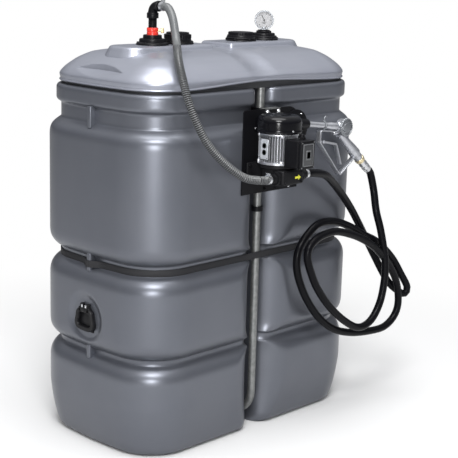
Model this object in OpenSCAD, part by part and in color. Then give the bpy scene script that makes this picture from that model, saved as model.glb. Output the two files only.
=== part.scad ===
// Bunded diesel tank with a pump set. Millimetres, +Z up, origin at the middle of the base.
// X runs along the long side. The pump hangs on the -Y side.

/* [Tank body] */
// Length of the body over its bulges
body_length = 1190; // [1150:10:1250]
// Width of the body over its bulges
body_width = 686; // [670:2:700]
// Wall thickness of the moulded shells
wall_thick = 8; // [6:1:10]
// Rounding of the upright corners
corner_round = 185; // [170:5:220]
// How far each end face bows out in the middle
end_bow = 28; // [0:2:40]
// How far the wall steps in at the grooves and the neck
groove_depth = 42; // [38:1:44]
// How far the underside steps in from the bulges
base_inset = 54; // [46:2:60]

/* [Heights] */
// Bottom of the lower groove
low_groove_z = 346; // [340:1:350]
// Height of the flat of the lower groove
low_groove_h = 20; // [16:1:26]
// Bottom of the strap groove
top_groove_z = 676; // [670:1:680]
// Height of the flat of the strap groove
top_groove_h = 36; // [32:1:40]
// Height of the shoulders that round into a groove
shoulder_h = 64; // [50:2:70]
// Bottom of the neck under the rim
neck_z = 1196; // [1190:2:1200]
// Bottom of the rim
rim_z = 1250; // [1246:1:1254]
// Top of the rim, where the roof rests
rim_top_z = 1318; // [1316:1:1324]
// How far the rim is inset from the bulges
rim_inset = 25; // [22:1:30]

/* [Front channel] */
// Half width of the channel between the lobes at its mouth
channel_mouth = 92; // [88:1:96]
// Rounding of the lobe edges beside the channel, in the grooves
channel_round = 62; // [58:1:64]
// How much wider the lobe edges round at the bulges
lobe_growth = 61; // [40:1:70]
// Distance from the middle of the body to the channel floor
channel_floor_y = 190; // [180:2:200]

/* [Roof] */
// Height of the flat top of the raised pads
pad_top_z = 1462; // [1460:1:1468]
// Half length of the raised pads
pad_reach = 450; // [430:5:460]
// Half width of the raised pads
pad_half_width = 84; // [76:2:90]
// Half width of the dip between the pads
pad_gap = 46; // [36:2:60]
// Depth of the dip that runs down the roof
saddle_depth = 22; // [14:1:26]

/* [Ports] */
// Position of the suction port along X
port_suction_x = -280; // [-285:1:-275]
// Position of the fill port along X
port_fill_x = -154; // [-156:1:-150]
// Position of the vent port along X
port_vent_x = 185; // [180:1:188]
// Position of the gauge port along X
port_gauge_x = 315; // [312:1:320]
// Radius of the black port flanges
port_r = 60; // [56:1:61]

/* [Support tube and strap] */
// Radius of the support tube
tube_r = 15; // [14:0.5:16]
// Bend radius of the foot of the support tube
tube_bend_r = 90; // [80:5:95]
// Height of the middle of the tube's foot
tube_foot_z = 52; // [48:1:60]
// Height of the strap
strap_h = 25; // [20:1:30]
// Thickness of the strap
strap_t = 3; // [2:0.5:4]

/* [Pump set] */
// Half width of the pump plate
plate_half = 150; // [140:5:152]
// Bottom edge of the pump plate
plate_z0 = 940; // [930:2:950]
// Top edge of the pump plate
plate_z1 = 1248; // [1240:2:1250]
// Thickness of the pump plate
plate_t = 4; // [3:0.5:5]
// Motor axis along X
motor_x = -66; // [-70:1:-60]
// Distance of the motor's axis in front of the pump plate
motor_out = 93; // [91:1:98]
// Radius over the motor's fins
motor_r = 70; // [68:1:74]
// Lower end of the motor
motor_z0 = 1066; // [1060:1:1070]
// Upper end of the motor, where the cowl starts
motor_z1 = 1178; // [1170:1:1180]
// Radius of the fan cowl
cowl_r = 84; // [80:1:86]
// Height of the fan cowl
cowl_h = 64; // [56:1:68]
// Number of fins round the motor
fin_count = 36; // [24:2:40]
// Distance of the pump's ports in front of the pump plate
pump_port_out = 143; // [140:1:146]
// Height of the pump's ports
pump_port_z = 1022; // [1020:1:1026]

/* [Nozzle] */
// Middle of the round cover along X
nozzle_x = 360; // [356:1:364]
// Distance of the nozzle in front of the pump plate
nozzle_out = 41; // [39:1:45]
// Height of the middle of the round cover
nozzle_z = 1154; // [1150:1:1158]
// How far the spout slopes down from the holder in degrees
nozzle_tilt = 7.5; // [6:0.5:9]
// Angle of the grip below the spout in degrees
grip_angle = 33; // [31:1:35]
// Radius of the spout
spout_r = 11; // [10:0.5:12]
// Radius of the round cover
cover_r = 37; // [34:1:38]
// Radius of the trigger's hinge pin
pin_r = 2.5; // [2:0.25:3]
// Play between the pin and the trigger's bore
pin_play = 0.05; // [0.02:0.01:0.08]

/* [Hoses] */
// Radius of both hoses
hose_r = 15; // [14:0.5:15]
// Number of flats round a hose
hose_sides = 10; // [8:1:12]

/* [Hidden] */
$fn = 48;

silver = [0.55, 0.56, 0.58];
black = [0.06, 0.06, 0.065];
zinc = [0.66, 0.67, 0.66];
half_l = body_length / 2;
half_w = body_width / 2;
tube_y = -(half_w - groove_depth - tube_r);
plate_y = -half_w - plate_t;
motor_y = plate_y - motor_out;
pump_port_y = plate_y - pump_port_out;
nozzle_y = plate_y - nozzle_out;
channel_wall_x = channel_mouth - channel_round;
roof_z = rim_top_z;

// Rows of height and inset that make one groove with rounded shoulders
function groove(z, h) = [
    [z - shoulder_h, 0],
    [z - 0.72 * shoulder_h, 0.06 * groove_depth],
    [z - 0.45 * shoulder_h, 0.22 * groove_depth],
    [z - 0.18 * shoulder_h, 0.56 * groove_depth],
    [z, groove_depth],
    [z + h, groove_depth],
    [z + h + 0.14 * shoulder_h, 0.62 * groove_depth],
    [z + h + 0.38 * shoulder_h, 0.28 * groove_depth],
    [z + h + 0.64 * shoulder_h, 0.07 * groove_depth],
    [z + h + shoulder_h, 0]];

// The outside of the bund from the floor to the rim
bund_out = concat(
    [[0, base_inset], [7, 42], [20, 31], [45, 23], [90, 13], [140, 5], [196, 0]],
    groove(low_groove_z, low_groove_h),
    groove(top_groove_z, top_groove_h),
    [[neck_z - 62, 0], [neck_z - 40, 3], [neck_z - 24, 12], [neck_z - 9, 30],
        [neck_z, groove_depth], [rim_z, groove_depth], [rim_z + 7, rim_inset + 5],
        [rim_z + 14, rim_inset], [rim_top_z - 12, rim_inset], [rim_top_z - 4, rim_inset + 4],
        [rim_top_z, rim_inset + 12]]);

// The inside of the bund, a little simpler than the outside
bund_in = concat(
    [[0, base_inset + 2], [12, base_inset + 2], [60, 24], [196, 1],
        [low_groove_z - shoulder_h, 2], [low_groove_z - 14, groove_depth + 2],
        [low_groove_z + low_groove_h + 14, groove_depth + 2],
        [low_groove_z + low_groove_h + shoulder_h, 2],
        [top_groove_z - shoulder_h, 2], [top_groove_z - 14, groove_depth + 2],
        [top_groove_z + top_groove_h + 14, groove_depth + 2],
        [top_groove_z + top_groove_h + shoulder_h, 2],
        [neck_z - 62, 2], [neck_z - 10, groove_depth + 2],
        [rim_z, groove_depth + 2], [rim_z + 16, groove_depth + 2], [rim_top_z, groove_depth + 4]]);

// The outside of the roof from the rim to the crown: height, inset, depth of the dip at mid length
roof_out = [[0, 48, 0], [8, 48, 0], [10, 36, 0], [16, 35, 0], [18, 38, 2], [34, 36, 8], [44, 41, 12],
    [60, 56, 17], [76, 77, 22], [90, 98, 27], [102, 122, 32], [112, 146, 38], [119, 172, 44],
    [125, 204, 52], [128, 236, 60], [130.5, 300, 18]];
// The inside of the roof
roof_in = [[0, 54, 100], [30, 50, 100], [62, 84, 80], [82, 128, 60], [90, 170, 60], [94, 228, 64]];

// How wide the lobe edges round at an inset, wide at the bulges and tight in the grooves
function lobe_round(i) = channel_round + lobe_growth * max(0, 1 - i / rim_inset);

// A quarter outline: middle of the end, corner, long side, lobe edge, channel floor
function quarter(i, t, floor_y) =
    let (a = half_l - i - t, b = half_w - i - t, r = max(corner_round - i - t, 34),
        lobe = lobe_round(i), e = lobe - t, mouth = channel_wall_x + lobe,
        cy = half_w - i - lobe, fy = floor_y - t)
    concat(
        [[a, 0], [a, (b - r) * 0.5]],
        [for (k = [0:6]) [a - r + r * cos(15 * k), b - r + r * sin(15 * k)]],
        [for (k = [1:2]) [a - r - (a - r - mouth) * k / 3, b]],
        [for (k = [0:4]) [mouth - e * sin(22.5 * k), cy + e * cos(22.5 * k)]],
        [[mouth - e, fy + 12], [mouth - e - 10, fy], [0, fy]]);

// The same for the roof, whose sides only dip at mid length
function roof_quarter(i, dip) =
    let (a = half_l - i, b = half_w - i, r = max(corner_round - i, 34))
    concat(
        [[a, 0], [a, (b - r) * 0.5]],
        [for (k = [0:6]) [a - r + r * cos(15 * k), b - r + r * sin(15 * k)]],
        [for (k = [1:2]) [a - r - (a - r - channel_mouth) * k / 3, b]],
        [for (k = [0:6]) [channel_mouth * (1 - k / 6), b - dip * (0.5 - 0.5 * cos(30 * k))]]);

// The bow of the end faces
function bow(p, i) = [p.x - end_bow * (p.x / (half_l - i)) * pow(p.y / (half_w - i), 2), p.y];

// Four quarters in turn make one closed ring
function mirror_ring(q) = let (n = len(q)) concat(
    [for (k = [0:n - 1]) q[k]],
    [for (k = [n - 2:-1:0]) [-q[k].x, q[k].y]],
    [for (k = [1:n - 1]) [-q[k].x, -q[k].y]],
    [for (k = [n - 2:-1:1]) [q[k].x, -q[k].y]]);

function bowed(q, i) = mirror_ring([for (p = q) bow(p, i)]);
function ring(i, t, floor_y) = bowed(quarter(i, t, floor_y), i);
function lift(r, z) = [for (p = r) [p.x, p.y, z]];

// A closed tube of rings: the outside rings, then the inside rings
module ring_shell(outs, ins) {
    n = len(outs[0]);
    a = len(outs);
    b = len(ins);
    pts = [for (r = concat(outs, ins)) for (p = r) p];
    function at(r, k) = r * n + k % n;
    outer = [for (r = [0:a - 2]) for (k = [0:n - 1]) for (f = [
        [at(r, k), at(r + 1, k), at(r + 1, k + 1)],
        [at(r, k), at(r + 1, k + 1), at(r, k + 1)]]) f];
    inner = [for (r = [a:a + b - 2]) for (k = [0:n - 1]) for (f = [
        [at(r, k), at(r + 1, k + 1), at(r + 1, k)],
        [at(r, k), at(r, k + 1), at(r + 1, k + 1)]]) f];
    foot = [for (k = [0:n - 1]) for (f = [
        [at(0, k), at(0, k + 1), at(a, k + 1)],
        [at(0, k), at(a, k + 1), at(a, k)]]) f];
    head = [for (k = [0:n - 1]) for (f = [
        [at(a - 1, k), at(a + b - 1, k), at(a + b - 1, k + 1)],
        [at(a - 1, k), at(a + b - 1, k + 1), at(a - 1, k + 1)]]) f];
    polyhedron(points = pts, faces = concat(outer, inner, foot, head));
}

// A domed cap: open below, closed above on both sides
module ring_dome(outs, ins) {
    n = len(outs[0]);
    a = len(outs);
    b = len(ins);
    pts = [for (r = concat(outs, ins)) for (p = r) p];
    function at(r, k) = r * n + k % n;
    outer = [for (r = [0:a - 2]) for (k = [0:n - 1]) for (f = [
        [at(r, k), at(r + 1, k), at(r + 1, k + 1)],
        [at(r, k), at(r + 1, k + 1), at(r, k + 1)]]) f];
    inner = [for (r = [a:a + b - 2]) for (k = [0:n - 1]) for (f = [
        [at(r, k), at(r + 1, k + 1), at(r + 1, k)],
        [at(r, k), at(r, k + 1), at(r + 1, k + 1)]]) f];
    foot = [for (k = [0:n - 1]) for (f = [
        [at(0, k), at(0, k + 1), at(a, k + 1)],
        [at(0, k), at(a, k + 1), at(a, k)]]) f];
    crown = [[for (k = [n - 1:-1:0]) at(a - 1, k)]];
    ceiling = [[for (k = [0:n - 1]) at(a + b - 1, k)]];
    polyhedron(points = pts, faces = concat(outer, inner, foot, crown, ceiling));
}

// Points on a smooth curve through the route's points
function spline(p0, p1, p2, p3, s) = 0.5 * ((2 * p1) + (p2 - p0) * s
    + (2 * p0 - 5 * p1 + 4 * p2 - p3) * s * s + (3 * p1 - p0 - 3 * p2 + p3) * s * s * s);
function smooth_route(r, m) = let (n = len(r), first = 2 * r[0] - r[1], last = 2 * r[n - 1] - r[n - 2])
    concat([for (i = [0:n - 2]) for (s = [0:m - 1])
        spline(i == 0 ? first : r[i - 1], r[i], r[i + 1], i == n - 2 ? last : r[i + 2], s / m)], [r[n - 1]]);
function unit(v) = v / norm(v);

// A hose swept along its route, with rings square to the way it runs
module hose(route, m, up) {
    c = smooth_route(route, m);
    n = len(c);
    d = [for (i = [0:n - 1]) unit(i == 0 ? c[1] - c[0] : i == n - 1 ? c[n - 1] - c[n - 2] : c[i + 1] - c[i - 1])];
    function frame_up(i) = i == 0 ? unit(up - d[0] * (up * d[0]))
        : let (u = frame_up(i - 1)) unit(u - d[i] * (u * d[i]));
    ups = [for (i = [0:n - 1]) frame_up(i)];
    pts = [for (i = [0:n - 1]) for (k = [0:hose_sides - 1])
        c[i] + hose_r * (ups[i] * cos(360 * k / hose_sides) + cross(d[i], ups[i]) * sin(360 * k / hose_sides))];
    function at(r, k) = r * hose_sides + k % hose_sides;
    skin = [for (r = [0:n - 2]) for (k = [0:hose_sides - 1]) for (f = [
        [at(r, k), at(r + 1, k), at(r + 1, k + 1)],
        [at(r, k), at(r + 1, k + 1), at(r, k + 1)]]) f];
    polyhedron(points = pts, faces = concat(skin,
        [[for (k = [0:hose_sides - 1]) at(0, k)]], [[for (k = [hose_sides - 1:-1:0]) at(n - 1, k)]]));
}

rib_half = 10;
rib_face_x = half_l - groove_depth + 25;

// Upright rib across a groove at the middle of an end
module end_rib(z0, z1) {
    translate([half_l - groove_depth - 6, -rib_half, z0])
        cube([rib_face_x - half_l + groove_depth + 6, 2 * rib_half, z1 - z0]);
}

module end_ribs() {
    end_rib(low_groove_z - 14, low_groove_z + low_groove_h + 16);
    end_rib(top_groove_z - 14, top_groove_z + top_groove_h + 16);
    end_rib(neck_z - 14, rim_z + 6);
}

grip_z = 486;
dish_r = 100;
dish_depth = 12;
dish_ball = (dish_r * dish_r + dish_depth * dish_depth) / (2 * dish_depth);
grip_seat_x = half_l - dish_depth;

module dish() {
    translate([half_l - dish_depth + dish_ball, 0, grip_z])
        sphere(r = dish_ball, $fn = 96);
    translate([grip_seat_x, 0, grip_z])
        rotate([0, 90, 0])
            cylinder(h = 30, r = 64);
}

backing_half = 96;
backing_z0 = 408;
backing_h = 172;

module dish_backing() {
    translate([half_l - 32, -backing_half, backing_z0])
        cube([24.5, 2 * backing_half, backing_h]);
}

// The outer bund: a double lobed shell, lofted through its shoulders and grooves
module bund_wall() {
    color(silver)
    difference() {
        union() {
            ring_shell(
                [for (r = bund_out) lift(ring(r[1], 0, channel_floor_y), r[0])],
                [for (r = bund_in) lift(ring(r[1], wall_thick, channel_floor_y), r[0])]);
            end_ribs();
            mirror([1, 0, 0])
                end_ribs();
            dish_backing();
            mirror([1, 0, 0])
                dish_backing();
        }
        dish();
        mirror([1, 0, 0])
            dish();
    }
}

// The floor closes the bund between the feet of its walls
module bund_floor() {
    color(silver)
    linear_extrude(height = 12)
        polygon(ring(base_inset + 2, wall_thick, channel_floor_y));
}

saddle_half = 40;
saddle_drop = 12;

module roof_pad() {
    translate([-1, -saddle_half, roof_z + 100])
        cube([pad_gap + 2, 2 * saddle_half, pad_top_z - saddle_drop - roof_z - 100]);
    translate([0, 0, roof_z + 100])
    linear_extrude(height = pad_top_z - roof_z - 100)
        union() {
            translate([pad_gap, -pad_half_width])
                square([pad_reach - 60 - pad_gap, 2 * pad_half_width]);
            translate([pad_reach - 100, -pad_half_width + 60])
                square([100, 2 * pad_half_width - 120]);
            for (s = [-1, 1])
                translate([pad_reach - 60, s * (pad_half_width - 60)])
                    circle(r = 60);
        }
}

// The domed roof with the raised pads that carry the ports
module tank_roof() {
    color(silver)
    union() {
        ring_dome(
            [for (r = roof_out) lift(bowed(roof_quarter(r[1], r[2] * saddle_depth / 22), r[1]), roof_z + r[0])],
            [for (r = roof_in) lift(bowed(roof_quarter(r[1], r[2]), r[1]), roof_z + r[0])]);
        roof_pad();
        mirror([1, 0, 0])
            roof_pad();
    }
}

// The band outline: as the body in the groove, but over the end ribs and straight across the channels
function band(i, t) = let (a = half_l - i - t, b = half_w - i - t, r = corner_round - i - t)
    bowed(concat(
        [[rib_face_x + 0.1 - t, 0], [rib_face_x + 0.1 - t, rib_half + 0.5], [a, 52], [a, (b - r) * 0.5]],
        [for (k = [0:6]) [a - r + r * cos(15 * k), b - r + r * sin(15 * k)]],
        [for (k = [1:2]) [a - r - (a - r - channel_mouth) * k / 3, b]],
        [[channel_mouth, b], [0, b]]), i);

module strap() {
    color(black)
    ring_shell(
        [for (z = [0, strap_h]) lift(band(groove_depth, -strap_t), top_groove_z + z)],
        [for (z = [0, strap_h]) lift(band(groove_depth, 0), top_groove_z + z)]);
}

// A moulded carry grip: a broad D with two lugs at the top
module carry_grip() {
    color(black)
    translate([grip_seat_x, 0, grip_z])
        rotate([90, 0, 90])
            difference() {
                union() {
                    translate([0, -6, 0])
                        cylinder(h = 18, r = 54);
                    for (s = [-1, 1])
                        translate([s * 16, 46, 0])
                            cylinder(h = 14, r = 9);
                }
                translate([-34, -34, -1])
                    cube([68, 50, 20]);
                translate([0, -30, -1])
                    cylinder(h = 20, r = 18);
                translate([0, -66, -1])
                    cylinder(h = 20, r = 15);
            }
}

module carry_grip_left() {
    mirror([1, 0, 0])
        carry_grip();
}

module carry_grip_right() {
    carry_grip();
}

// The galvanised tube in the front channel, bent in at its foot
module support_tube() {
    color(zinc)
    union() {
        translate([0, tube_y, tube_foot_z + tube_bend_r])
            cylinder(h = roof_z - tube_foot_z - tube_bend_r, r = tube_r);
        translate([0, tube_y + tube_bend_r, tube_foot_z + tube_bend_r])
            rotate([-90, 0, -90])
                rotate_extrude(angle = 90)
                    translate([tube_bend_r, 0])
                        circle(r = tube_r);
        translate([0, tube_y + tube_bend_r, tube_foot_z])
            rotate([-90, 0, 0])
                cylinder(h = -channel_floor_y - tube_y - tube_bend_r, r = tube_r);
    }
}

clip_z = 856;
clip_h = 18;

module tube_clip() {
    color(black)
    difference() {
        translate([0, tube_y, clip_z])
            cylinder(h = clip_h, r = tube_r + 7);
        translate([0, tube_y, clip_z - 6])
            cylinder(h = clip_h + 12, r = tube_r);
    }
}

// A clamp block between the tube and the back of the pump plate
module tube_clamp(z) {
    color(black)
    difference() {
        translate([-27, -half_w, z])
            cube([54, half_w + tube_y + 22, 40]);
        translate([0, tube_y, z - 5])
            cylinder(h = 50, r = tube_r);
    }
}

module upper_tube_clamp() {
    tube_clamp(plate_z1 - 44);
}

module lower_tube_clamp() {
    tube_clamp(plate_z0 + 4);
}

plate_corner = 60;

// The pump plate, rounded at its upper right corner
module pump_plate() {
    color(black)
    union() {
        translate([-plate_half, plate_y, plate_z0])
            cube([2 * plate_half, plate_t, plate_z1 - plate_z0 - plate_corner]);
        translate([-plate_half, plate_y, plate_z0])
            cube([2 * plate_half - plate_corner, plate_t, plate_z1 - plate_z0]);
        translate([plate_half - plate_corner, plate_y + plate_t, plate_z1 - plate_corner])
            rotate([90, 0, 0])
                cylinder(h = plate_t, r = plate_corner, $fn = 96);
    }
}

// The cast pump body with its foot on the plate and an inline port boss
module pump_body() {
    color(black)
    union() {
        translate([motor_x, motor_y, 990])
            cylinder(h = motor_z0 - 990, r = 62);
        translate([motor_x - 56, pump_port_y - 30, 996])
            cube([112, 90, 54]);
        translate([motor_x - 44, motor_y, 996])
            cube([88, plate_y - motor_y, 60]);
        translate([motor_x - 66, plate_y - 8, 986])
            cube([132, 8, 74]);
        translate([motor_x - 70, pump_port_y, pump_port_z])
            rotate([0, 90, 0])
                cylinder(h = 140, r = 24);
    }
}

module port_stub(x) {
    translate([x, pump_port_y, pump_port_z])
        rotate([0, 90, 0])
            cylinder(h = 20, r = hose_r + 2);
}

module inlet_port() {
    color(black)
        port_stub(motor_x - 90);
}

module outlet_port() {
    color(black)
        port_stub(motor_x + 70);
}

// The finned motor
module motor_body() {
    color([0.7, 0.71, 0.72])
    union() {
        translate([motor_x, motor_y, motor_z0])
            cylinder(h = motor_z1 - motor_z0, r = motor_r - 7);
        for (k = [0:fin_count - 1])
            translate([motor_x, motor_y, motor_z0 + 4])
                rotate([0, 0, k * 360 / fin_count])
                    translate([motor_r - 10, -1.5, 0])
                        cube([10, 3, motor_z1 - motor_z0 - 8]);
        translate([motor_x - motor_r - 1, motor_y - 20, motor_z0 + 18])
            cube([12, 40, 76]);
    }
}

module motor_plate() {
    color([0.85, 0.86, 0.87])
    translate([motor_x - motor_r - 2.5, motor_y - 18, motor_z0 + 22])
        cube([1.5, 36, 68]);
}

module fan_cowl() {
    color(black)
    translate([motor_x, motor_y, motor_z1])
        union() {
            cylinder(h = cowl_h - 22, r = cowl_r);
            rotate_extrude()
                union() {
                    square([cowl_r - 22, cowl_h]);
                    square([cowl_r, cowl_h - 22]);
                    translate([cowl_r - 22, cowl_h - 22])
                        circle(r = 22);
                }
        }
}

box_x0 = -106;
box_w = 72;
box_front = plate_y - 239;
box_z0 = 1064;
box_h = 98;

// The terminal box stands off the front of the motor
module terminal_box() {
    color(black)
    difference() {
        translate([box_x0, box_front, box_z0])
            cube([box_w, motor_y - box_front - 40, box_h]);
        translate([motor_x, motor_y, box_z0 - 10])
            cylinder(h = box_h + 20, r = motor_r);
        translate([motor_x, motor_y, box_z0 - 10])
            cylinder(h = motor_z0 - box_z0 + 10, r = motor_r + 2);
    }
}

module switch_panel() {
    color([0.2, 0.2, 0.21])
    translate([box_x0 + 7, box_front - 3, box_z0 + 8])
        cube([box_w - 14, 3, box_h - 16]);
}

// Moves a piece drawn about the cover's middle to the nozzle's place
module at_nozzle() {
    translate([nozzle_x, nozzle_y, nozzle_z])
        rotate([0, nozzle_tilt, 0])
            children();
}

holder_x = 128;
holder_z = plate_z1 - 82;
holder_r = 68;

// The round plate and the sleeve that hold the spout
module nozzle_holder() {
    color(black)
    difference() {
        union() {
            translate([holder_x, plate_y, holder_z])
                rotate([90, 0, 0])
                    cylinder(h = 5, r = holder_r, $fn = 72);
            translate([holder_x - 28, nozzle_y - 6, nozzle_z + 6])
                cube([44, plate_y - nozzle_y + 4, 40]);
            at_nozzle()
                translate([-272, 0, 0])
                    rotate([0, 90, 0])
                        cylinder(h = 58, r = spout_r + 8);
        }
        at_nozzle()
            translate([-262, 0, 0])
                rotate([0, 90, 0])
                    cylinder(h = 60, r = spout_r + 2);
    }
}

module nozzle_spout() {
    color([0.75, 0.76, 0.78])
    at_nozzle()
        translate([-250, 0, 0])
            rotate([0, 90, 0])
                union() {
                    cylinder(h = 214, r = spout_r);
                    translate([0, 0, 166])
                        cylinder(h = 48, r = 14);
                }
}

module nozzle_hook() {
    color([0.7, 0.71, 0.73])
    at_nozzle()
        difference() {
            union() {
                translate([-120, 0, 0])
                    rotate([0, 90, 0])
                        cylinder(h = 8, r = spout_r + 6);
                translate([-120, -5, 10])
                    cube([8, 10, 36]);
                translate([-112, -5, 38])
                    cube([12, 10, 8]);
            }
            translate([-124, 0, 0])
                rotate([0, 90, 0])
                    cylinder(h = 16, r = spout_r);
        }
}

grip_start = [-10, 0, -30];
grip_r = 19;
grip_length = 158;
swivel_length = 18;
ferrule_length = 62;
barrel_r = 32;
barrel_half = 15;

// The nozzle's cast body: a barrel at the cover and the grip running down from it
module nozzle_casting() {
    union() {
        translate([0, barrel_half, 0])
            rotate([90, 0, 0])
                cylinder(h = 2 * barrel_half, r = barrel_r);
        translate([-36, 0, 0])
            rotate([0, 90, 0])
                cylinder(h = 36, r = 18);
        translate(grip_start)
            rotate([0, 90 + grip_angle, 0])
                cylinder(h = grip_length, r = grip_r);
        translate([-56, 0, -26.5])
            rotate([0, 80, 0])
                cylinder(h = 50, r = 8);
    }
}

module nozzle_body() {
    color([0.72, 0.73, 0.75])
    at_nozzle()
        nozzle_casting();
}

module nozzle_cover() {
    color([0.66, 0.67, 0.68])
    at_nozzle()
        difference() {
            translate([0, -barrel_half, 0])
                rotate([90, 0, 0])
                    union() {
                        cylinder(h = 9, r = cover_r);
                        cylinder(h = 12, r = cover_r - 10);
                    }
            nozzle_casting();
        }
}

hinge_x = -112;
hinge_z = -62;
guard_w = 22;
guard_t = 6;

// A flat bar between two points of the nozzle's plane
module bar(x0, z0, x1, z1, w, t) {
    l = norm([x1 - x0, z1 - z0]);
    translate([x0, -w / 2, z0])
        rotate([0, -atan2(z1 - z0, x1 - x0), 0])
            translate([0, 0, -t / 2])
                cube([l, w, t]);
}

// One strip of the guard, drawn flat
module strip(x0, z0, x1, z1) {
    translate([x0, z0])
        rotate(atan2(z1 - z0, x1 - x0))
            translate([0, -guard_t / 2])
                square([norm([x1 - x0, z1 - z0]), guard_t]);
}

// The guard round the trigger, with the trigger's pin
module trigger_guard() {
    color([0.62, 0.63, 0.66])
    at_nozzle()
        difference() {
            union() {
                rotate([90, 0, 0])
                    linear_extrude(height = guard_w, center = true)
                        union() {
                            strip(-139, -16, -134, -66);
                            strip(-136, -63, -12, -168);
                            strip(-15, -165, 11, -185);
                            strip(8, -185, 98, -104);
                            strip(-142, -20, -54, -20);
                        }
                bar(-136, hinge_z, hinge_x + 4, hinge_z, 3, 9);
                translate([hinge_x, 12, hinge_z])
                    rotate([90, 0, 0])
                        cylinder(h = 24, r = pin_r);
            }
            nozzle_casting();
        }
}

// The trigger turns up towards the grip on its pin
module trigger() {
    color([0.6, 0.61, 0.64])
    at_nozzle()
        difference() {
            union() {
                for (s = [-1, 1])
                    translate([hinge_x, s * 8 + 2, hinge_z])
                        rotate([90, 0, 0])
                            cylinder(h = 4, r = 7);
                for (s = [-1, 1])
                    translate([0, s * 8, 0])
                        bar(hinge_x + 2, hinge_z, -32, -66, 3.4, 10);
                bar(-38, -66, -28, -66, 19, 10);
                bar(-33, -64, 10, -144, 18, 6);
            }
            translate([hinge_x, 13, hinge_z])
                rotate([90, 0, 0])
                    cylinder(h = 26, r = pin_r + pin_play);
        }
}

// Places a piece on the axis of the grip, at a distance from its upper end
module on_grip(d) {
    at_nozzle()
        translate(grip_start)
            rotate([0, 90 + grip_angle, 0])
                translate([0, 0, d])
                    children();
}

module hose_swivel() {
    color([0.75, 0.6, 0.3])
    on_grip(grip_length)
        cylinder(h = swivel_length, r = grip_r + 1, $fn = 24);
}

module hose_ferrule() {
    color([0.78, 0.79, 0.8])
    on_grip(grip_length + swivel_length)
        cylinder(h = ferrule_length, r = hose_r + 1.5);
}

// Where the ferrule ends and which way the grip points
grip_dir = [cos(grip_angle + nozzle_tilt), 0, -sin(grip_angle + nozzle_tilt)];
grip_lead = [grip_start.x * cos(nozzle_tilt) + grip_start.z * sin(nozzle_tilt), 0,
    grip_start.z * cos(nozzle_tilt) - grip_start.x * sin(nozzle_tilt)];
hose_top = [nozzle_x, nozzle_y, nozzle_z] + grip_lead
    + (grip_length + swivel_length + ferrule_length) * grip_dir;
outlet_end = [motor_x + 90, pump_port_y, pump_port_z];
inlet_end = [motor_x - 90, pump_port_y, pump_port_z];
elbow_end = [port_suction_x, -42, 1602];

// Hose points as X, distance in front of the plate, and height
delivery_points = [
    [166, 125, 1000], [255, 93, 954], [345, 65, 895], [428, 45, 827], [505, 31, 748], [620, 25, 603],
    [690, 48, 488], [727, 77, 443], [757, 91, 428], [767, 95, 456], [735, 85, 512], [681, 71, 591],
    [590, 63, 668], [500, 61, 712], [410, 58, 758], [318, 55, 790], [230, 53, 793], [165, 53, 760],
    [120, 53, 712], [108, 53, 655], [126, 53, 587], [178, 53, 498], [256, 55, 410], [347, 59, 348],
    [450, 65, 315], [560, 73, 302], [646, 79, 305], [702, 85, 342], [719, 89, 400], [690, 95, 490],
    [630, 99, 570], [538, 103, 652], [455, 105, 702], [365, 105, 740], [265, 105, 766], [171, 105, 758],
    [118, 105, 728], [108, 105, 690], [128, 105, 635], [172, 105, 559], [247, 107, 473],
    [340, 109, 398], [430, 111, 352], [505, 113, 365], [560, 113, 428], [583, 113, 515],
    [586, 111, 590], [577, 103, 662], [566, 91, 735], [554, 75, 805], [562, 51, 884]];
function off_plate(points) = [for (p = points) [p.x, plate_y - p.y, p.z]];
delivery_route = concat([outlet_end, outlet_end + [25, 0, 0], outlet_end + [55, 2, -2]],
    off_plate(delivery_points), [hose_top + 26 * grip_dir, hose_top]);

suction_points = [
    [-450, 28, 1300], [-435, 55, 1228], [-403, 78, 1159], [-350, 103, 1095], [-284, 131, 1043],
    [-219, 142, 1026]];
suction_route = concat(
    [elbow_end, elbow_end + [0, -20, 0], elbow_end + [0, -42, -6], [-290, -118, 1560],
        [-318, -168, 1484], [-395, -262, 1430], [-440, -335, 1366]],
    off_plate(suction_points), [inlet_end - [25, 0, 0], inlet_end]);

module delivery_hose() {
    color(black)
        hose(delivery_route, 1, [0, 1, 0]);
}

module suction_hose() {
    color([0.3, 0.31, 0.31])
        hose(suction_route, 1, [1, 0, 0]);
}

module hose_clamp() {
    difference() {
        union() {
            cylinder(h = 12, r = hose_r + 2);
            translate([-6, hose_r - 2, 0])
                cube([12, 12, 12]);
        }
        translate([0, 0, -1])
            cylinder(h = 14, r = hose_r);
    }
}

module outlet_clamp() {
    color([0.8, 0.81, 0.82])
    translate(outlet_end + [4, 0, 0])
        rotate([0, 90, 0])
            hose_clamp();
}

module inlet_clamp() {
    color([0.8, 0.81, 0.82])
    translate(inlet_end - [16, 0, 0])
        rotate([0, 90, 0])
            hose_clamp();
}

module elbow_clamp() {
    color([0.8, 0.81, 0.82])
    translate(elbow_end - [0, 4, 0])
        rotate([90, 0, 0])
            hose_clamp();
}

module port_flange(x, r0, r1, h) {
    translate([x, 0, pad_top_z])
        union() {
            cylinder(h = 10, r = r0);
            cylinder(h = h * 0.6, r = (r0 + r1) / 2);
            cylinder(h = h, r = r1);
        }
}

module suction_flange() {
    color(black)
        port_flange(port_suction_x, port_r, 34, 36);
}

module suction_bush() {
    color([0.75, 0.13, 0.1])
    translate([port_suction_x, 0, pad_top_z + 36])
        cylinder(h = 26, r = 21);
}

module suction_nipple() {
    color(black)
    translate([port_suction_x, 0, pad_top_z + 62])
        cylinder(h = 34, r = 16);
}

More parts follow.
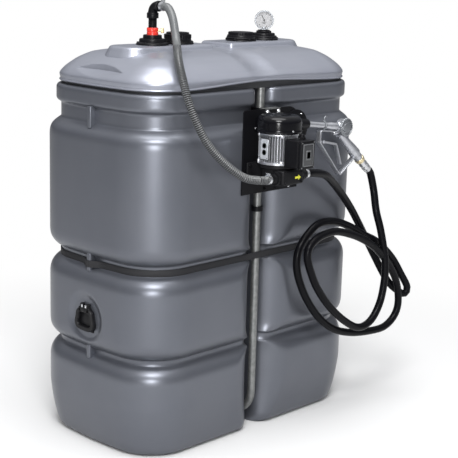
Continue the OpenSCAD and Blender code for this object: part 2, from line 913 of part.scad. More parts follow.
module suction_elbow() {
    color(black)
    union() {
        translate([port_suction_x, 0, pad_top_z + 96])
            cylinder(h = 20, r = 21);
        translate([port_suction_x, -26, 1576])
            rotate([90, 0, 90])
                rotate_extrude(angle = 90)
                    translate([26, 0])
                        circle(r = 17);
        translate([port_suction_x, -26, 1602])
            rotate([90, 0, 0])
                cylinder(h = 16, r = 17);
    }
}

module fill_cap() {
    color(black)
    union() {
        port_flange(port_fill_x, port_r, 48, 30);
        translate([port_fill_x, 0, pad_top_z + 30])
            cylinder(h = 12, r = 42);
    }
}

module vent_cap() {
    color(black)
    union() {
        port_flange(port_vent_x, port_r, 54, 24);
        translate([port_vent_x, 0, pad_top_z + 24])
            cylinder(h = 10, r = 50);
    }
}

module gauge_base() {
    color(black)
    union() {
        port_flange(port_gauge_x, port_r - 2, 44, 26);
        translate([port_gauge_x, 0, pad_top_z + 26])
            cylinder(h = 12, r = 24);
    }
}

gauge_z = 1538;
gauge_turn = -45;

module at_gauge() {
    translate([port_gauge_x, 0, gauge_z])
        rotate([0, 0, gauge_turn])
            children();
}

module gauge_case() {
    color([0.75, 0.76, 0.77])
    at_gauge()
        difference() {
            union() {
                translate([0, 12, 0])
                    rotate([90, 0, 0])
                        cylinder(h = 24, r = 38);
                translate([0, 0, pad_top_z + 38 - gauge_z])
                    cylinder(h = 12, r = 11);
            }
            translate([0, -6, 0])
                rotate([90, 0, 0])
                    cylinder(h = 10, r = 34);
        }
}

module gauge_dial() {
    color([0.9, 0.9, 0.88])
    at_gauge()
        translate([0, -6, 0])
            rotate([90, 0, 0])
                cylinder(h = 2, r = 34);
}

bund_wall();
bund_floor();
tank_roof();
strap();
carry_grip_left();
carry_grip_right();
support_tube();
tube_clip();
upper_tube_clamp();
lower_tube_clamp();
pump_plate();
pump_body();
inlet_port();
outlet_port();
motor_body();
motor_plate();
fan_cowl();
terminal_box();
switch_panel();
nozzle_holder();
nozzle_spout();
nozzle_hook();
nozzle_body();
nozzle_cover();
trigger_guard();
trigger();
hose_swivel();
hose_ferrule();
delivery_hose();
outlet_clamp();
suction_hose();
inlet_clamp();
elbow_clamp();
suction_flange();
suction_bush();
suction_nipple();
suction_elbow();
fill_cap();
vent_cap();
gauge_base();
gauge_case();
gauge_dial();
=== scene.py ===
import math

import bmesh
import bpy
from mathutils import Matrix, Vector


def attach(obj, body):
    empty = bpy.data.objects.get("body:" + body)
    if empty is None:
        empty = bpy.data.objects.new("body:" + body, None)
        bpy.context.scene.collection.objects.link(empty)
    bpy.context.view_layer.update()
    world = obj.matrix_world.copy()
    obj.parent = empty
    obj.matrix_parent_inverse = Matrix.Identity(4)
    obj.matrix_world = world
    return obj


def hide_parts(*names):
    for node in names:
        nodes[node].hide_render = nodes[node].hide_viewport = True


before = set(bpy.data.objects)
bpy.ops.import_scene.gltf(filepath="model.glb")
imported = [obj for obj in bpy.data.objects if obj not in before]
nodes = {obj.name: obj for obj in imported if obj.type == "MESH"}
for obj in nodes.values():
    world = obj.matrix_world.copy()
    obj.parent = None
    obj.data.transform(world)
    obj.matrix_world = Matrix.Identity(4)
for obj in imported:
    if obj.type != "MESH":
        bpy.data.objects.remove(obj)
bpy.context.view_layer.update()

# Lengths in this script are millimetres, as in the part, and MM turns them into Blender's metres
MM = 0.001
TANK = "tank"
TRIGGER = "trigger"

# Camera

CAMERA_PLACE = (-3356.6, -3393.9, 1817.1)
CAMERA_RIGHT = (0.6998, -0.7138, 0.0270)
CAMERA_UP = (0.1393, 0.1734, 0.9749)
CAMERA_LENS = 97.94
SENSOR_WIDTH = 36.0


def make_camera():
    data = bpy.data.cameras.new("camera")
    data.sensor_width = SENSOR_WIDTH
    data.lens = CAMERA_LENS
    data.clip_end = 200
    camera = bpy.data.objects.new("camera", data)
    bpy.context.scene.collection.objects.link(camera)
    right = Vector(CAMERA_RIGHT).normalized()
    up = Vector(CAMERA_UP)
    up = (up - right * up.dot(right)).normalized()
    back = right.cross(up)
    turn = Matrix((right, up, back)).transposed().to_4x4()
    camera.matrix_world = Matrix.Translation(Vector(CAMERA_PLACE) * MM) @ turn
    bpy.context.scene.camera = camera


make_camera()

# Materials


def socket(shader, name, value):
    shader.inputs[name].default_value = value


def grain(material, shader, size, strength, detail=3.0):
    """Fine unevenness of a surface, as bump."""
    tree = material.node_tree
    place = tree.nodes.new("ShaderNodeTexCoord")
    noise = tree.nodes.new("ShaderNodeTexNoise")
    noise.inputs["Scale"].default_value = size
    noise.inputs["Detail"].default_value = detail
    bump = tree.nodes.new("ShaderNodeBump")
    bump.inputs["Strength"].default_value = strength
    bump.inputs["Distance"].default_value = 0.001
    tree.links.new(place.outputs["Object"], noise.inputs["Vector"])
    tree.links.new(noise.outputs["Fac"], bump.inputs["Height"])
    tree.links.new(bump.outputs["Normal"], shader.inputs["Normal"])


def mottle(material, shader, size, first, second):
    """Two near shades of one colour, in soft patches."""
    tree = material.node_tree
    place = tree.nodes.new("ShaderNodeTexCoord")
    noise = tree.nodes.new("ShaderNodeTexNoise")
    noise.inputs["Scale"].default_value = size
    noise.inputs["Detail"].default_value = 6.0
    ramp = tree.nodes.new("ShaderNodeValToRGB")
    ramp.color_ramp.elements[0].position = 0.36
    ramp.color_ramp.elements[0].color = (*first, 1)
    ramp.color_ramp.elements[1].position = 0.64
    ramp.color_ramp.elements[1].color = (*second, 1)
    tree.links.new(place.outputs["Object"], noise.inputs["Vector"])
    tree.links.new(noise.outputs["Fac"], ramp.inputs["Fac"])
    tree.links.new(ramp.outputs["Color"], shader.inputs["Base Color"])


def material(name, color, roughness, metallic=0.0, second=None, patches=8.0, bump=None, **sockets):
    made = bpy.data.materials.new(name)
    made.use_nodes = True
    shader = made.node_tree.nodes["Principled BSDF"]
    socket(shader, "Base Color", (*color, 1))
    socket(shader, "Roughness", roughness)
    socket(shader, "Metallic", metallic)
    for key, value in sockets.items():
        socket(shader, key.replace("_", " "), value)
    if second:
        mottle(made, shader, patches, color, second)
    if bump:
        grain(made, shader, *bump)
    return made


SILVER = material("silver_plastic", (0.113, 0.120, 0.140), 0.34, 0.62,
                  second=(0.122, 0.129, 0.149), patches=5.0, bump=(420.0, 0.05))
# The body's silver plastic painted lighter for the roof: painted light for the light that falls on its upward faces
SILVER_ROOF_PAINTED_LIGHT = material("silver_plastic_roof_painted_light", (0.250, 0.262, 0.305), 0.34, 0.55,
                       second=(0.266, 0.277, 0.320), patches=5.0, bump=(420.0, 0.05))
STRAP_BLACK = material("strap_webbing", (0.020, 0.020, 0.022), 0.65, bump=(900.0, 0.3), Specular_IOR_Level=0.22)
RUBBER = material("black_rubber", (0.006, 0.006, 0.007), 0.40, bump=(300.0, 0.1), Specular_IOR_Level=0.18)
ZINC = material("galvanised_steel", (0.17, 0.175, 0.175), 0.42, 0.75,
                second=(0.24, 0.245, 0.24), patches=60.0)
BLACK_PLASTIC = material("black_plastic", (0.005, 0.005, 0.006), 0.34, bump=(500.0, 0.06), Specular_IOR_Level=0.12)
BLACK_PAINT = material("black_paint", (0.004, 0.004, 0.005), 0.40, bump=(260.0, 0.06), Specular_IOR_Level=0.12)
BLACK_CASTING = material("black_casting", (0.006, 0.006, 0.007), 0.48, bump=(160.0, 0.25), Specular_IOR_Level=0.14)
ALUMINIUM = material("cast_aluminium", (0.43, 0.44, 0.47), 0.34, 0.85,
                     second=(0.50, 0.51, 0.54), patches=80.0, bump=(500.0, 0.08))
BRIGHT = material("bright_steel", (0.62, 0.63, 0.65), 0.26, 0.9)
BLACK_GLOSS = material("black_gloss", (0.003, 0.003, 0.004), 0.16, Specular_IOR_Level=0.20)
BRASS = material("brass", (0.72, 0.54, 0.24), 0.30, 0.9)
HOSE_BLACK = material("hose_rubber", (0.003, 0.003, 0.004), 0.30, bump=(240.0, 0.06), Specular_IOR_Level=0.09)
HOSE_GREY = material("hose_grey", (0.095, 0.099, 0.102), 0.26, bump=(200.0, 0.05), Specular_IOR_Level=0.35)
# Painted shade for the grooves between the suction hose's ribs
HOSE_GROOVE_SHADE = material("hose_groove_painted_shade", (0.006, 0.006, 0.007), 0.4, Specular_IOR_Level=0.3)
# Painted shade for the roof's flange, which lies in the gap above the rim
FLANGE_GAP_SHADE = material("roof_flange_painted_shade", (0.020, 0.021, 0.024), 0.6)
RED = material("red_plastic", (0.60, 0.030, 0.018), 0.32)
DIAL = material("dial_face", (0.34, 0.34, 0.345), 0.5)
INK = material("dial_ink", (0.02, 0.02, 0.02), 0.5)
YELLOW = material("yellow_arrow", (0.72, 0.70, 0.05), 0.5)
PANEL = material("panel_plastic", (0.035, 0.036, 0.038), 0.25)
PALE_PLATE = material("pale_plate", (0.55, 0.57, 0.60), 0.35, 0.5)
DARK_CORE = material("motor_core_shade", (0.055, 0.057, 0.062), 0.5, 0.4)
DARK_SEAT = material("plate_seat", (0.045, 0.046, 0.050), 0.45)
SWITCH_GREY = material("switch_grey", (0.085, 0.088, 0.092), 0.4)
COVER_GREY = material("cover_grey", (0.22, 0.23, 0.245), 0.36, 0.75)
BRASS_PALE = material("brass_pale", (0.78, 0.67, 0.43), 0.32, 0.85)

# Making pieces


def piece(name, verts, faces, mat, body=TANK, stands_for=(), sharp=38.0):
    """A mesh piece from points in millimetres."""
    mesh = bpy.data.meshes.new(name)
    mesh.from_pydata([(x * MM, y * MM, z * MM) for x, y, z in verts], [], faces)
    mesh.update()
    work = bmesh.new()
    work.from_mesh(mesh)
    bmesh.ops.recalc_face_normals(work, faces=work.faces)
    work.to_mesh(mesh)
    work.free()
    obj = bpy.data.objects.new(name, mesh)
    bpy.context.scene.collection.objects.link(obj)
    mesh.materials.append(mat)
    for polygon in mesh.polygons:
        polygon.use_smooth = True
    mesh.set_sharp_from_angle(angle=math.radians(sharp))
    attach(obj, body)
    if stands_for:
        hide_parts(*stands_for)
    return obj


def joined(name, parts, mat, **options):
    """One piece from several lists of points and faces."""
    verts, faces = [], []
    for part_verts, part_faces in parts:
        start = len(verts)
        verts += [tuple(v) for v in part_verts]
        faces += [tuple(start + i for i in face) for face in part_faces]
    return piece(name, verts, faces, mat, **options)


def loft(rings, closed_ends=True):
    """Points and faces of rings of equal length."""
    count = len(rings[0])
    verts = [p for ring in rings for p in ring]
    faces = []
    for row in range(len(rings) - 1):
        for k in range(count):
            after = (k + 1) % count
            faces.append((row * count + k, row * count + after,
                          (row + 1) * count + after, (row + 1) * count + k))
    if closed_ends:
        faces.append(tuple(range(count - 1, -1, -1)))
        faces.append(tuple((len(rings) - 1) * count + k for k in range(count)))
    return verts, faces


def placed(part, matrix):
    """Points and faces moved by a matrix."""
    verts, faces = part
    return [tuple(matrix @ Vector(v)) for v in verts], faces


def lathe(profile, segments=48, ribs=0, rib_depth=0.0, rib_rows=()):
    """A turned form about Z from (radius, height) pairs. Some rows may carry upright ribs."""
    rings = []
    for row, (radius, height) in enumerate(profile):
        ring = []
        for k in range(segments):
            angle = 2 * math.pi * k / segments
            r = max(radius, 0.01)
            if ribs and row in rib_rows:
                r -= rib_depth * (0.5 - 0.5 * math.cos(ribs * angle))
            ring.append((r * math.cos(angle), r * math.sin(angle), height))
        rings.append(ring)
    return loft(rings)


def block(low, high, bevel=1.5, steps=2):
    """A box between two corners with rounded edges."""
    work = bmesh.new()
    bmesh.ops.create_cube(work, size=1.0)
    size = [high[k] - low[k] for k in range(3)]
    middle = [(high[k] + low[k]) / 2 for k in range(3)]
    for vert in work.verts:
        vert.co = Vector([middle[k] + vert.co[k] * size[k] for k in range(3)])
    if bevel:
        bmesh.ops.bevel(work, geom=list(work.edges), offset=bevel, segments=steps,
                        affect="EDGES", profile=0.5)
    work.verts.index_update()
    verts = [tuple(v.co) for v in work.verts]
    faces = [tuple(v.index for v in face.verts) for face in work.faces]
    work.free()
    return verts, faces


def prism(outline, height):
    """An upright plate from an outline in the XY plane."""
    return loft([[(x, y, 0) for x, y in outline], [(x, y, height) for x, y in outline]])


def sweep(path, section, up=(0, 1, 0)):
    """A form swept along points. section(k) gives (sideways, upward) pairs at path point k."""
    points = [Vector(p) for p in path]
    last = len(points) - 1
    u = Vector(up)
    rings = []
    for k, point in enumerate(points):
        ahead = points[min(k + 1, last)] - points[max(k - 1, 0)]
        d = ahead.normalized()
        u = (u - d * u.dot(d)).normalized()
        side = d.cross(u)
        rings.append([tuple(point + u * b + side * a) for a, b in section(k)])
    return loft(rings)


def circle(radius, sides=20):
    return [(radius * math.cos(2 * math.pi * k / sides), radius * math.sin(2 * math.pi * k / sides))
            for k in range(sides)]


def spline(points, spacing):
    """A smooth curve through points, sampled about every spacing millimetres."""
    p = [Vector(q) for q in points]
    p = [2 * p[0] - p[1]] + p + [2 * p[-1] - p[-2]]
    out = []
    for i in range(1, len(p) - 2):
        count = max(1, round((p[i + 1] - p[i]).length / spacing))
        for s in range(count):
            t = s / count
            out.append(0.5 * (2 * p[i] + (p[i + 1] - p[i - 1]) * t
                              + (2 * p[i - 1] - 5 * p[i] + 4 * p[i + 1] - p[i + 2]) * t * t
                              + (3 * p[i] - p[i - 1] - 3 * p[i + 1] + p[i + 2]) * t * t * t))
    out.append(p[-2])
    return out


def axis_turn(direction):
    """A matrix that lays the Z axis along a direction."""
    return Vector(direction).to_track_quat("Z", "Y").to_matrix().to_4x4()


def at(x, y, z):
    return Matrix.Translation((x, y, z))


# Hoses

HOSE_R = 15.0
MOTOR_X, MOTOR_Y = -66.0, -440.0
PORT_Y, PORT_Z = -490.0, 1022.0
OUTLET_END = Vector((MOTOR_X + 90, PORT_Y, PORT_Z))
INLET_END = Vector((MOTOR_X - 90, PORT_Y, PORT_Z))
SUCTION_X = -280.0
ELBOW_END = Vector((SUCTION_X, -42, 1602))
NOZZLE = Vector((360, -388, 1154))
NOZZLE_TILT = math.radians(7.5)
GRIP_ANGLE = math.radians(33)
GRIP_START = Vector((-10, 0, -30))
GRIP_LENGTH, SWIVEL_LENGTH, FERRULE_LENGTH = 158, 18, 62
GRIP_R = 19.0
at_nozzle = Matrix.Translation(NOZZLE) @ Matrix.Rotation(NOZZLE_TILT, 4, "Y")
GRIP_DIR = Vector((math.cos(GRIP_ANGLE + NOZZLE_TILT), 0, -math.sin(GRIP_ANGLE + NOZZLE_TILT)))
HOSE_TOP = at_nozzle @ GRIP_START + (GRIP_LENGTH + SWIVEL_LENGTH + FERRULE_LENGTH) * GRIP_DIR

DELIVERY_ROUTE = [
    OUTLET_END, OUTLET_END + Vector((25, 0, 0)), OUTLET_END + Vector((55, 2, -2)),
    (166, -472, 1000), (255, -440, 954), (345, -412, 895), (428, -392, 827), (505, -378, 748),
    (620, -372, 603), (690, -395, 488), (727, -424, 443), (757, -438, 428), (767, -442, 456),
    (735, -432, 512), (681, -418, 591), (590, -410, 668), (500, -408, 712), (410, -405, 758),
    (318, -402, 790), (230, -400, 793), (165, -400, 760), (120, -400, 712), (108, -400, 655),
    (126, -400, 587), (178, -400, 498), (256, -402, 410), (347, -406, 348), (450, -412, 315),
    (560, -420, 302), (646, -426, 305), (702, -432, 342), (719, -436, 400), (690, -442, 490),
    (630, -446, 570), (538, -450, 652), (455, -452, 702), (365, -452, 740), (265, -452, 766),
    (171, -452, 758), (118, -452, 728), (108, -452, 690), (128, -452, 635), (172, -452, 559),
    (247, -454, 473), (340, -456, 398), (430, -458, 352), (505, -460, 365), (560, -460, 428),
    (583, -460, 515), (586, -458, 590), (577, -450, 662), (566, -438, 735), (554, -422, 805),
    (562, -398, 884), HOSE_TOP + 26 * GRIP_DIR, HOSE_TOP]

SUCTION_ROUTE = [
    ELBOW_END, ELBOW_END + Vector((0, -20, 0)), ELBOW_END + Vector((0, -42, -6)),
    (-290, -118, 1560), (-318, -168, 1484), (-395, -262, 1430), (-440, -335, 1366),
    (-450, -375, 1300), (-435, -402, 1228), (-403, -425, 1159), (-350, -450, 1095),
    (-284, -478, 1043), (-219, -489, 1026), INLET_END - Vector((25, 0, 0)), INLET_END]


def make_hose(name, route, node, mat, spacing, radius_at, up):
    path = spline(route, spacing)
    part = sweep(path, lambda k: circle(radius_at(k), HOSE_SIDES), up)
    hose = joined(name, [part], mat, stands_for=(node,), sharp=60.0)
    return hose


RIB_ROWS = 4
RIB_PITCH = 7.2
RIB_DEPTH = 2.6
RIB_START = 230.0
HOSE_SIDES = 18

def ribbed_radius(k):
    """Smooth near the tank's elbow, ribbed further down."""
    depth = RIB_DEPTH * min(max((k * RIB_PITCH / RIB_ROWS - RIB_START) / 60, 0.12), 1.0)
    return HOSE_R - depth * (0.5 - 0.5 * math.cos(2 * math.pi * k / RIB_ROWS))


def shade_hose_grooves(hose):
    """Painted shade in the grooves between the ribs of the suction hose."""
    hose.data.materials.append(HOSE_GROOVE_SHADE)
    for polygon in hose.data.polygons[:-2]:
        row = polygon.index // HOSE_SIDES
        if row * RIB_PITCH / RIB_ROWS > RIB_START and row % RIB_ROWS in (1, 2):
            polygon.material_index = 1


make_hose("delivery_hose_line", DELIVERY_ROUTE, "delivery_hose", HOSE_BLACK,
          12.0, lambda k: HOSE_R, (0, 1, 0))
shade_hose_grooves(make_hose("suction_hose_line", SUCTION_ROUTE, "suction_hose", HOSE_GREY,
                        RIB_PITCH / RIB_ROWS, ribbed_radius, (1, 0, 0)))

# The body of the tank

HALF_L, HALF_W = 595.0, 343.0
CORNER = 185.0
END_BOW = 28.0
CHANNEL_WALL_X, CHANNEL_FLOOR = 30.0, 190.0
LOBE_ROUND, LOBE_GROWTH = 62.0, 61.0
CHANNEL_MOUTH = CHANNEL_WALL_X + LOBE_ROUND
GROOVE_DEPTH = 42.0
SHOULDER_H = 64.0
LOW_GROOVE_Z, LOW_GROOVE_H = 346.0, 20.0
TOP_GROOVE_Z, TOP_GROOVE_H = 676.0, 36.0
NECK_Z, RIM_Z, RIM_TOP_Z, RIM_INSET = 1196.0, 1250.0, 1318.0, 25.0
GRIP_Z = 486.0
DISH_DEPTH, DISH_R, DISH_SEAT_R = 12.0, 100.0, 64.0
DISH_BALL = (DISH_R ** 2 + DISH_DEPTH ** 2) / (2 * DISH_DEPTH)
GRIP_SEAT_X = HALF_L - DISH_DEPTH
MIN_CORNER = 34.0


def arc(cx, cy, radius, start, stop, count, skip=0):
    """Points on an arc, angles in degrees."""
    return [(cx + radius * math.cos(math.radians(start + (stop - start) * k / count)),
             cy + radius * math.sin(math.radians(start + (stop - start) * k / count)))
            for k in range(skip, count + 1)]


def end_and_corner(a, b, r):
    """From the middle of an end round its corner to the long side."""
    straight = [(a, (b - r) * k / 24) for k in range(24)]
    return straight + arc(a - r, b - r, r, 0, 90, 18)


def lobe_round(inset):
    """How wide the lobe edges round: wide at the bulges and tight in the grooves."""
    near = max(0.0, 1 - inset / RIM_INSET)
    return LOBE_ROUND + LOBE_GROWTH * near


def body_quarter(inset):
    a, b, r = HALF_L - inset, HALF_W - inset, max(CORNER - inset, MIN_CORNER)
    e = lobe_round(inset)
    mouth = CHANNEL_WALL_X + e
    side = [(a - r - (a - r - mouth) * k / 8, b) for k in range(1, 8)]
    lobe = arc(mouth, b - e, e, 90, 180, 18)
    wall_x, low_y = CHANNEL_WALL_X, CHANNEL_FLOOR + 10
    wall = [(wall_x, b - e - (b - e - low_y) * k / 4) for k in range(1, 4)]
    fillet = arc(wall_x - 10, low_y, 10, 0, -90, 4)
    return end_and_corner(a, b, r) + side + lobe + wall + fillet + [(10, CHANNEL_FLOOR), (0, CHANNEL_FLOOR)]


def roof_quarter(inset, dip):
    a, b, r = HALF_L - inset, HALF_W - inset, max(CORNER - inset, MIN_CORNER)
    side = [(a - r - (a - r - CHANNEL_MOUTH) * k / 10, b) for k in range(1, 11)]
    valley = [(CHANNEL_MOUTH * (1 - k / 18), b - dip * (0.5 - 0.5 * math.cos(math.pi * k / 18)))
              for k in range(1, 19)]
    return end_and_corner(a, b, r) + side + valley


def bowed_ring(quarter, inset):
    """The whole outline from a quarter, with the ends bowed."""
    q = [(x - END_BOW * (x / (HALF_L - inset)) * (y / (HALF_W - inset)) ** 2, y) for x, y in quarter]
    back = q[-2::-1]
    ring = q + [(-x, y) for x, y in back]
    ring += [(-x, -y) for x, y in q[1:]]
    ring += [(x, -y) for x, y in q[-2:0:-1]]
    return ring


def monotone(rows, spacing):
    """Rows (height, inset) joined by a curve that never overshoots them."""
    n = len(rows)
    h = [rows[k + 1][0] - rows[k][0] for k in range(n - 1)]
    slope = [(rows[k + 1][1] - rows[k][1]) / h[k] for k in range(n - 1)]
    tangent = [slope[0]] + [0.0] * (n - 2) + [slope[-1]]
    for k in range(1, n - 1):
        if slope[k - 1] * slope[k] > 0:
            w1, w2 = 2 * h[k] + h[k - 1], h[k] + 2 * h[k - 1]
            tangent[k] = (w1 + w2) / (w1 / slope[k - 1] + w2 / slope[k])
    out = []
    for k in range(n - 1):
        reach = math.hypot(h[k], rows[k + 1][1] - rows[k][1])
        count = max(1, math.ceil(reach / spacing))
        for s in range(count):
            t = s / count
            value = ((2 * t ** 3 - 3 * t ** 2 + 1) * rows[k][1] + (t ** 3 - 2 * t ** 2 + t) * h[k] * tangent[k]
                     + (3 * t ** 2 - 2 * t ** 3) * rows[k + 1][1] + (t ** 3 - t ** 2) * h[k] * tangent[k + 1])
            out.append((rows[k][0] + t * h[k], value))
    out.append(tuple(rows[-1]))
    return out


def softened(rows, passes=2):
    """Cuts the corners of a profile a little, as a moulded edge has them."""
    for _ in range(passes):
        out = [rows[0]]
        for p, q in zip(rows, rows[1:]):
            out.append(tuple(0.75 * a + 0.25 * b for a, b in zip(p, q)))
            out.append(tuple(0.25 * a + 0.75 * b for a, b in zip(p, q)))
        out.append(rows[-1])
        rows = out
    return rows


def shoulder_up(z):
    """From a bulge into the groove above it."""
    d = GROOVE_DEPTH
    return [(z - SHOULDER_H, 0), (z - 0.72 * SHOULDER_H, 0.06 * d), (z - 0.45 * SHOULDER_H, 0.22 * d),
            (z - 0.18 * SHOULDER_H, 0.56 * d), (z, d)]


def shoulder_out(z):
    """From a groove out to the bulge above it."""
    d = GROOVE_DEPTH
    return [(z, d), (z + 0.14 * SHOULDER_H, 0.62 * d), (z + 0.38 * SHOULDER_H, 0.28 * d),
            (z + 0.64 * SHOULDER_H, 0.07 * d), (z + SHOULDER_H, 0)]


def body_profile():
    foot = [(0, 54), (7, 42), (20, 31), (45, 23), (90, 13), (140, 5), (196, 0)]
    low_end = LOW_GROOVE_Z + LOW_GROOVE_H
    top_end = TOP_GROOVE_Z + TOP_GROOVE_H
    chains = [
        foot + shoulder_up(LOW_GROOVE_Z),
        [(LOW_GROOVE_Z, GROOVE_DEPTH), (low_end, GROOVE_DEPTH)],
        shoulder_out(low_end) + shoulder_up(TOP_GROOVE_Z),
        [(TOP_GROOVE_Z, GROOVE_DEPTH), (top_end, GROOVE_DEPTH)],
        shoulder_out(top_end) + [(NECK_Z - 62, 0), (NECK_Z - 40, 3), (NECK_Z - 24, 12),
                                 (NECK_Z - 9, 30), (NECK_Z, GROOVE_DEPTH)],
        [(NECK_Z, GROOVE_DEPTH), (RIM_Z, GROOVE_DEPTH)],
        [(RIM_Z, GROOVE_DEPTH), (RIM_Z + 7, RIM_INSET + 5), (RIM_Z + 14, RIM_INSET),
         (RIM_TOP_Z - 12, RIM_INSET), (RIM_TOP_Z - 4, RIM_INSET + 4), (RIM_TOP_Z, RIM_INSET + 12)],
    ]
    rows = []
    for chain in chains:
        rows += monotone(chain, 14.0)[:-1]
    rows.append((RIM_TOP_Z, RIM_INSET + 12))
    rows = softened(rows, 1)
    return rows + [(RIM_TOP_Z, GROOVE_DEPTH + 3), (RIM_TOP_Z - 12, GROOVE_DEPTH + 6),
                   (RIM_Z + 20, GROOVE_DEPTH + 8)]


def dished(x, y, z):
    """The round hollow in the middle of each end."""
    rho = math.hypot(y, z - GRIP_Z)
    if rho > 1.3 * DISH_R or abs(x) < HALF_L - 80:
        return x
    rise = min(max((rho - DISH_SEAT_R - 12) / 22, 0.0), 1.6)
    bowl = GRIP_SEAT_X + DISH_DEPTH * rise
    soft = 1.6
    reach = abs(x)
    low = reach - soft * math.log(1 + math.exp((reach - bowl) / soft)) if reach - bowl > -16 else reach
    return math.copysign(low, x)


def make_body():
    rings = []
    for height, inset in body_profile():
        rings.append([(dished(x, y, height), y, height)
                      for x, y in bowed_ring(body_quarter(inset), inset)])
    joined("bund_skin", [loft(rings)], SILVER, stands_for=("bund_wall", "bund_floor"), sharp=42.0)


make_body()

RIB_HALF = 10.0
RIB_FACE_X = HALF_L - GROOVE_DEPTH + 25


def make_end_ribs():
    ribs = []
    spans = [(LOW_GROOVE_Z - 16, LOW_GROOVE_Z + LOW_GROOVE_H + 18),
             (TOP_GROOVE_Z - 16, TOP_GROOVE_Z + TOP_GROOVE_H + 18), (NECK_Z - 16, RIM_Z + 8)]
    for low, high in spans:
        for side in (-1, 1):
            x0, x1 = sorted((side * (HALF_L - GROOVE_DEPTH - 10), side * RIB_FACE_X))
            ribs.append(block((x0, -RIB_HALF, low), (x1, RIB_HALF, high), 4.0, 3))
    joined("end_ribs", ribs, SILVER)


make_end_ribs()

# The strap

STRAP_H, STRAP_T = 25.0, 3.0


def strap_quarter(t):
    a, b, r = HALF_L - GROOVE_DEPTH + t, HALF_W - GROOVE_DEPTH + t, CORNER - GROOVE_DEPTH + t
    over_rib = [(RIB_FACE_X + 0.1 + t, 0), (RIB_FACE_X + 0.1 + t, RIB_HALF - 2), (RIB_FACE_X - 1 + t, RIB_HALF + 3),
                (a + 8, 34), (a, 56), (a, 79)]
    side = [(a - r - (a - r) * k / 12, b) for k in range(1, 13)]
    return over_rib + arc(a - r, b - r, r, 0, 90, 18) + side


def make_strap():
    rings = []
    section = [(0, 0), (0, STRAP_H), (STRAP_T - 0.6, STRAP_H), (STRAP_T, STRAP_H - 0.8), (STRAP_T, 0.8),
               (STRAP_T - 0.6, 0)]
    outlines = [bowed_ring(strap_quarter(t), GROOVE_DEPTH - t) for t, _ in section]
    for k in range(len(outlines[0])):
        rings.append([(*outlines[i][k], TOP_GROOVE_Z + section[i][1]) for i in range(len(section))])
    rings.append(rings[0])
    verts, faces = loft(rings[:-1], closed_ends=False)
    count, last = len(section), len(rings) - 2
    for i in range(count):
        after = (i + 1) % count
        faces.append((last * count + i, last * count + after, after, i))
    joined("strap_band", [(verts, faces)], STRAP_BLACK, stands_for=("strap",))


make_strap()

# The roof

ROOF_ROWS = [(0, 48, 0), (8, 48, 0), (10, 37, 0), (13, 35, 0), (16, 36, 0), (18, 39, 2), (25, 37.5, 5),
             (34, 36, 8), (44, 41, 12), (60, 56, 17), (76, 77, 22), (90, 98, 27), (102, 122, 32),
             (112, 146, 38), (119, 172, 44), (125, 204, 52), (128, 236, 60), (130.5, 300, 18)]
CORNER_ROW = 5
PAD_TOP_Z, PAD_REACH, PAD_HALF, PAD_GAP = 1462.0, 450.0, 84.0, 46.0
RECESS_Z, RECESS_HALF, RECESS_TALL, RECESS_DEEP = 1381.0, 126.0, 21.0, 30.0
LIP_RISE, LIP_REACH = 15.0, 430.0


def recessed(x, y, z):
    """The lens-shaped hand hollow on each end of the roof."""
    across = y / RECESS_HALF
    if abs(across) >= 1 or abs(x) < HALF_L - 200:
        return x, z
    tall = RECESS_TALL * (1 - across ** 2)
    up = (z - RECESS_Z) / max(tall, 0.01)
    if abs(up) >= 1:
        return x, z
    deep = RECESS_DEEP * (1 - across ** 2) * ((1 + up) if up < 0 else (1 - up)) * 0.8
    return math.copysign(abs(x) - deep, x), z


def lip_rise(x, y, height):
    """The roof's lower edge rises from the rim towards mid length."""
    if abs(x) >= LIP_REACH or height < 9 or abs(y) < 150:
        return 0.0
    return LIP_RISE * (0.5 + 0.5 * math.cos(math.pi * x / LIP_REACH)) * min(max((60 - height) / 44, 0), 1)


def roof_rows():
    stiff = [tuple(map(float, row)) for row in ROOF_ROWS[:CORNER_ROW + 1]]
    curve = [Vector(row) for row in ROOF_ROWS[CORNER_ROW:]]
    smooth = [tuple(p) for p in spline(curve, 3.0)]
    return stiff[:-1] + smooth


def make_roof():
    rings = []
    for height, inset, dip in roof_rows():
        ring = bowed_ring(roof_quarter(inset, dip), inset)
        z = RIM_TOP_Z + height
        points = []
        for x, y in ring:
            rx, rz = recessed(x, y, z)
            points.append((rx, y, rz + lip_rise(x, y, height)))
        rings.append(points)
    pads = []
    for side in (-1, 1):
        pads.append(pad_part(side))
    pads.append(block((-PAD_GAP - 30, -40, 1430), (PAD_GAP + 30, 40, 1450), 3.0, 3))
    roof = joined("roof_skin", [loft(rings)] + pads, SILVER_ROOF_PAINTED_LIGHT, stands_for=("tank_roof",), sharp=50.0)
    # The two lowest rows of the roof, its flange in the gap above the rim, get painted shade
    roof.data.materials.append(FLANGE_GAP_SHADE)
    for polygon in roof.data.polygons[:2 * len(rings[0])]:
        polygon.material_index = 1


def pad_outline(side, grow):
    """The plan of a raised pad, wider by grow."""
    r_out, r_in = 62.0 + grow, 12.0 + grow
    x_out, x_in = PAD_REACH + grow, PAD_GAP - grow
    w = PAD_HALF + grow
    points = arc(x_out - r_out, w - r_out, r_out, 0, 90, 12)
    points += arc(x_in + r_in, w - r_in, r_in, 90, 180, 6)
    points += arc(x_in + r_in, -w + r_in, r_in, 180, 270, 6)
    points += arc(x_out - r_out, -w + r_out, r_out, 270, 360, 12)
    return [(side * x, y) for x, y in points]


def pad_part(side):
    rows = [(1404, 17), (1416, 18.5), (1424, 15.5), (1432, 11), (1440, 6.5), (1447, 2.8), (1452.5, 0), (1456.5, -2.6),
            (1459.5, -5.6), (1461.3, -9.6), (PAD_TOP_Z, -15)]
    return loft([[(x, y, z) for x, y in pad_outline(side, grow)] for z, grow in rows])


make_roof()

# Fittings on the roof

PORT_R = 60.0
FILL_X, VENT_X, GAUGE_X = -154.0, 185.0, 315.0


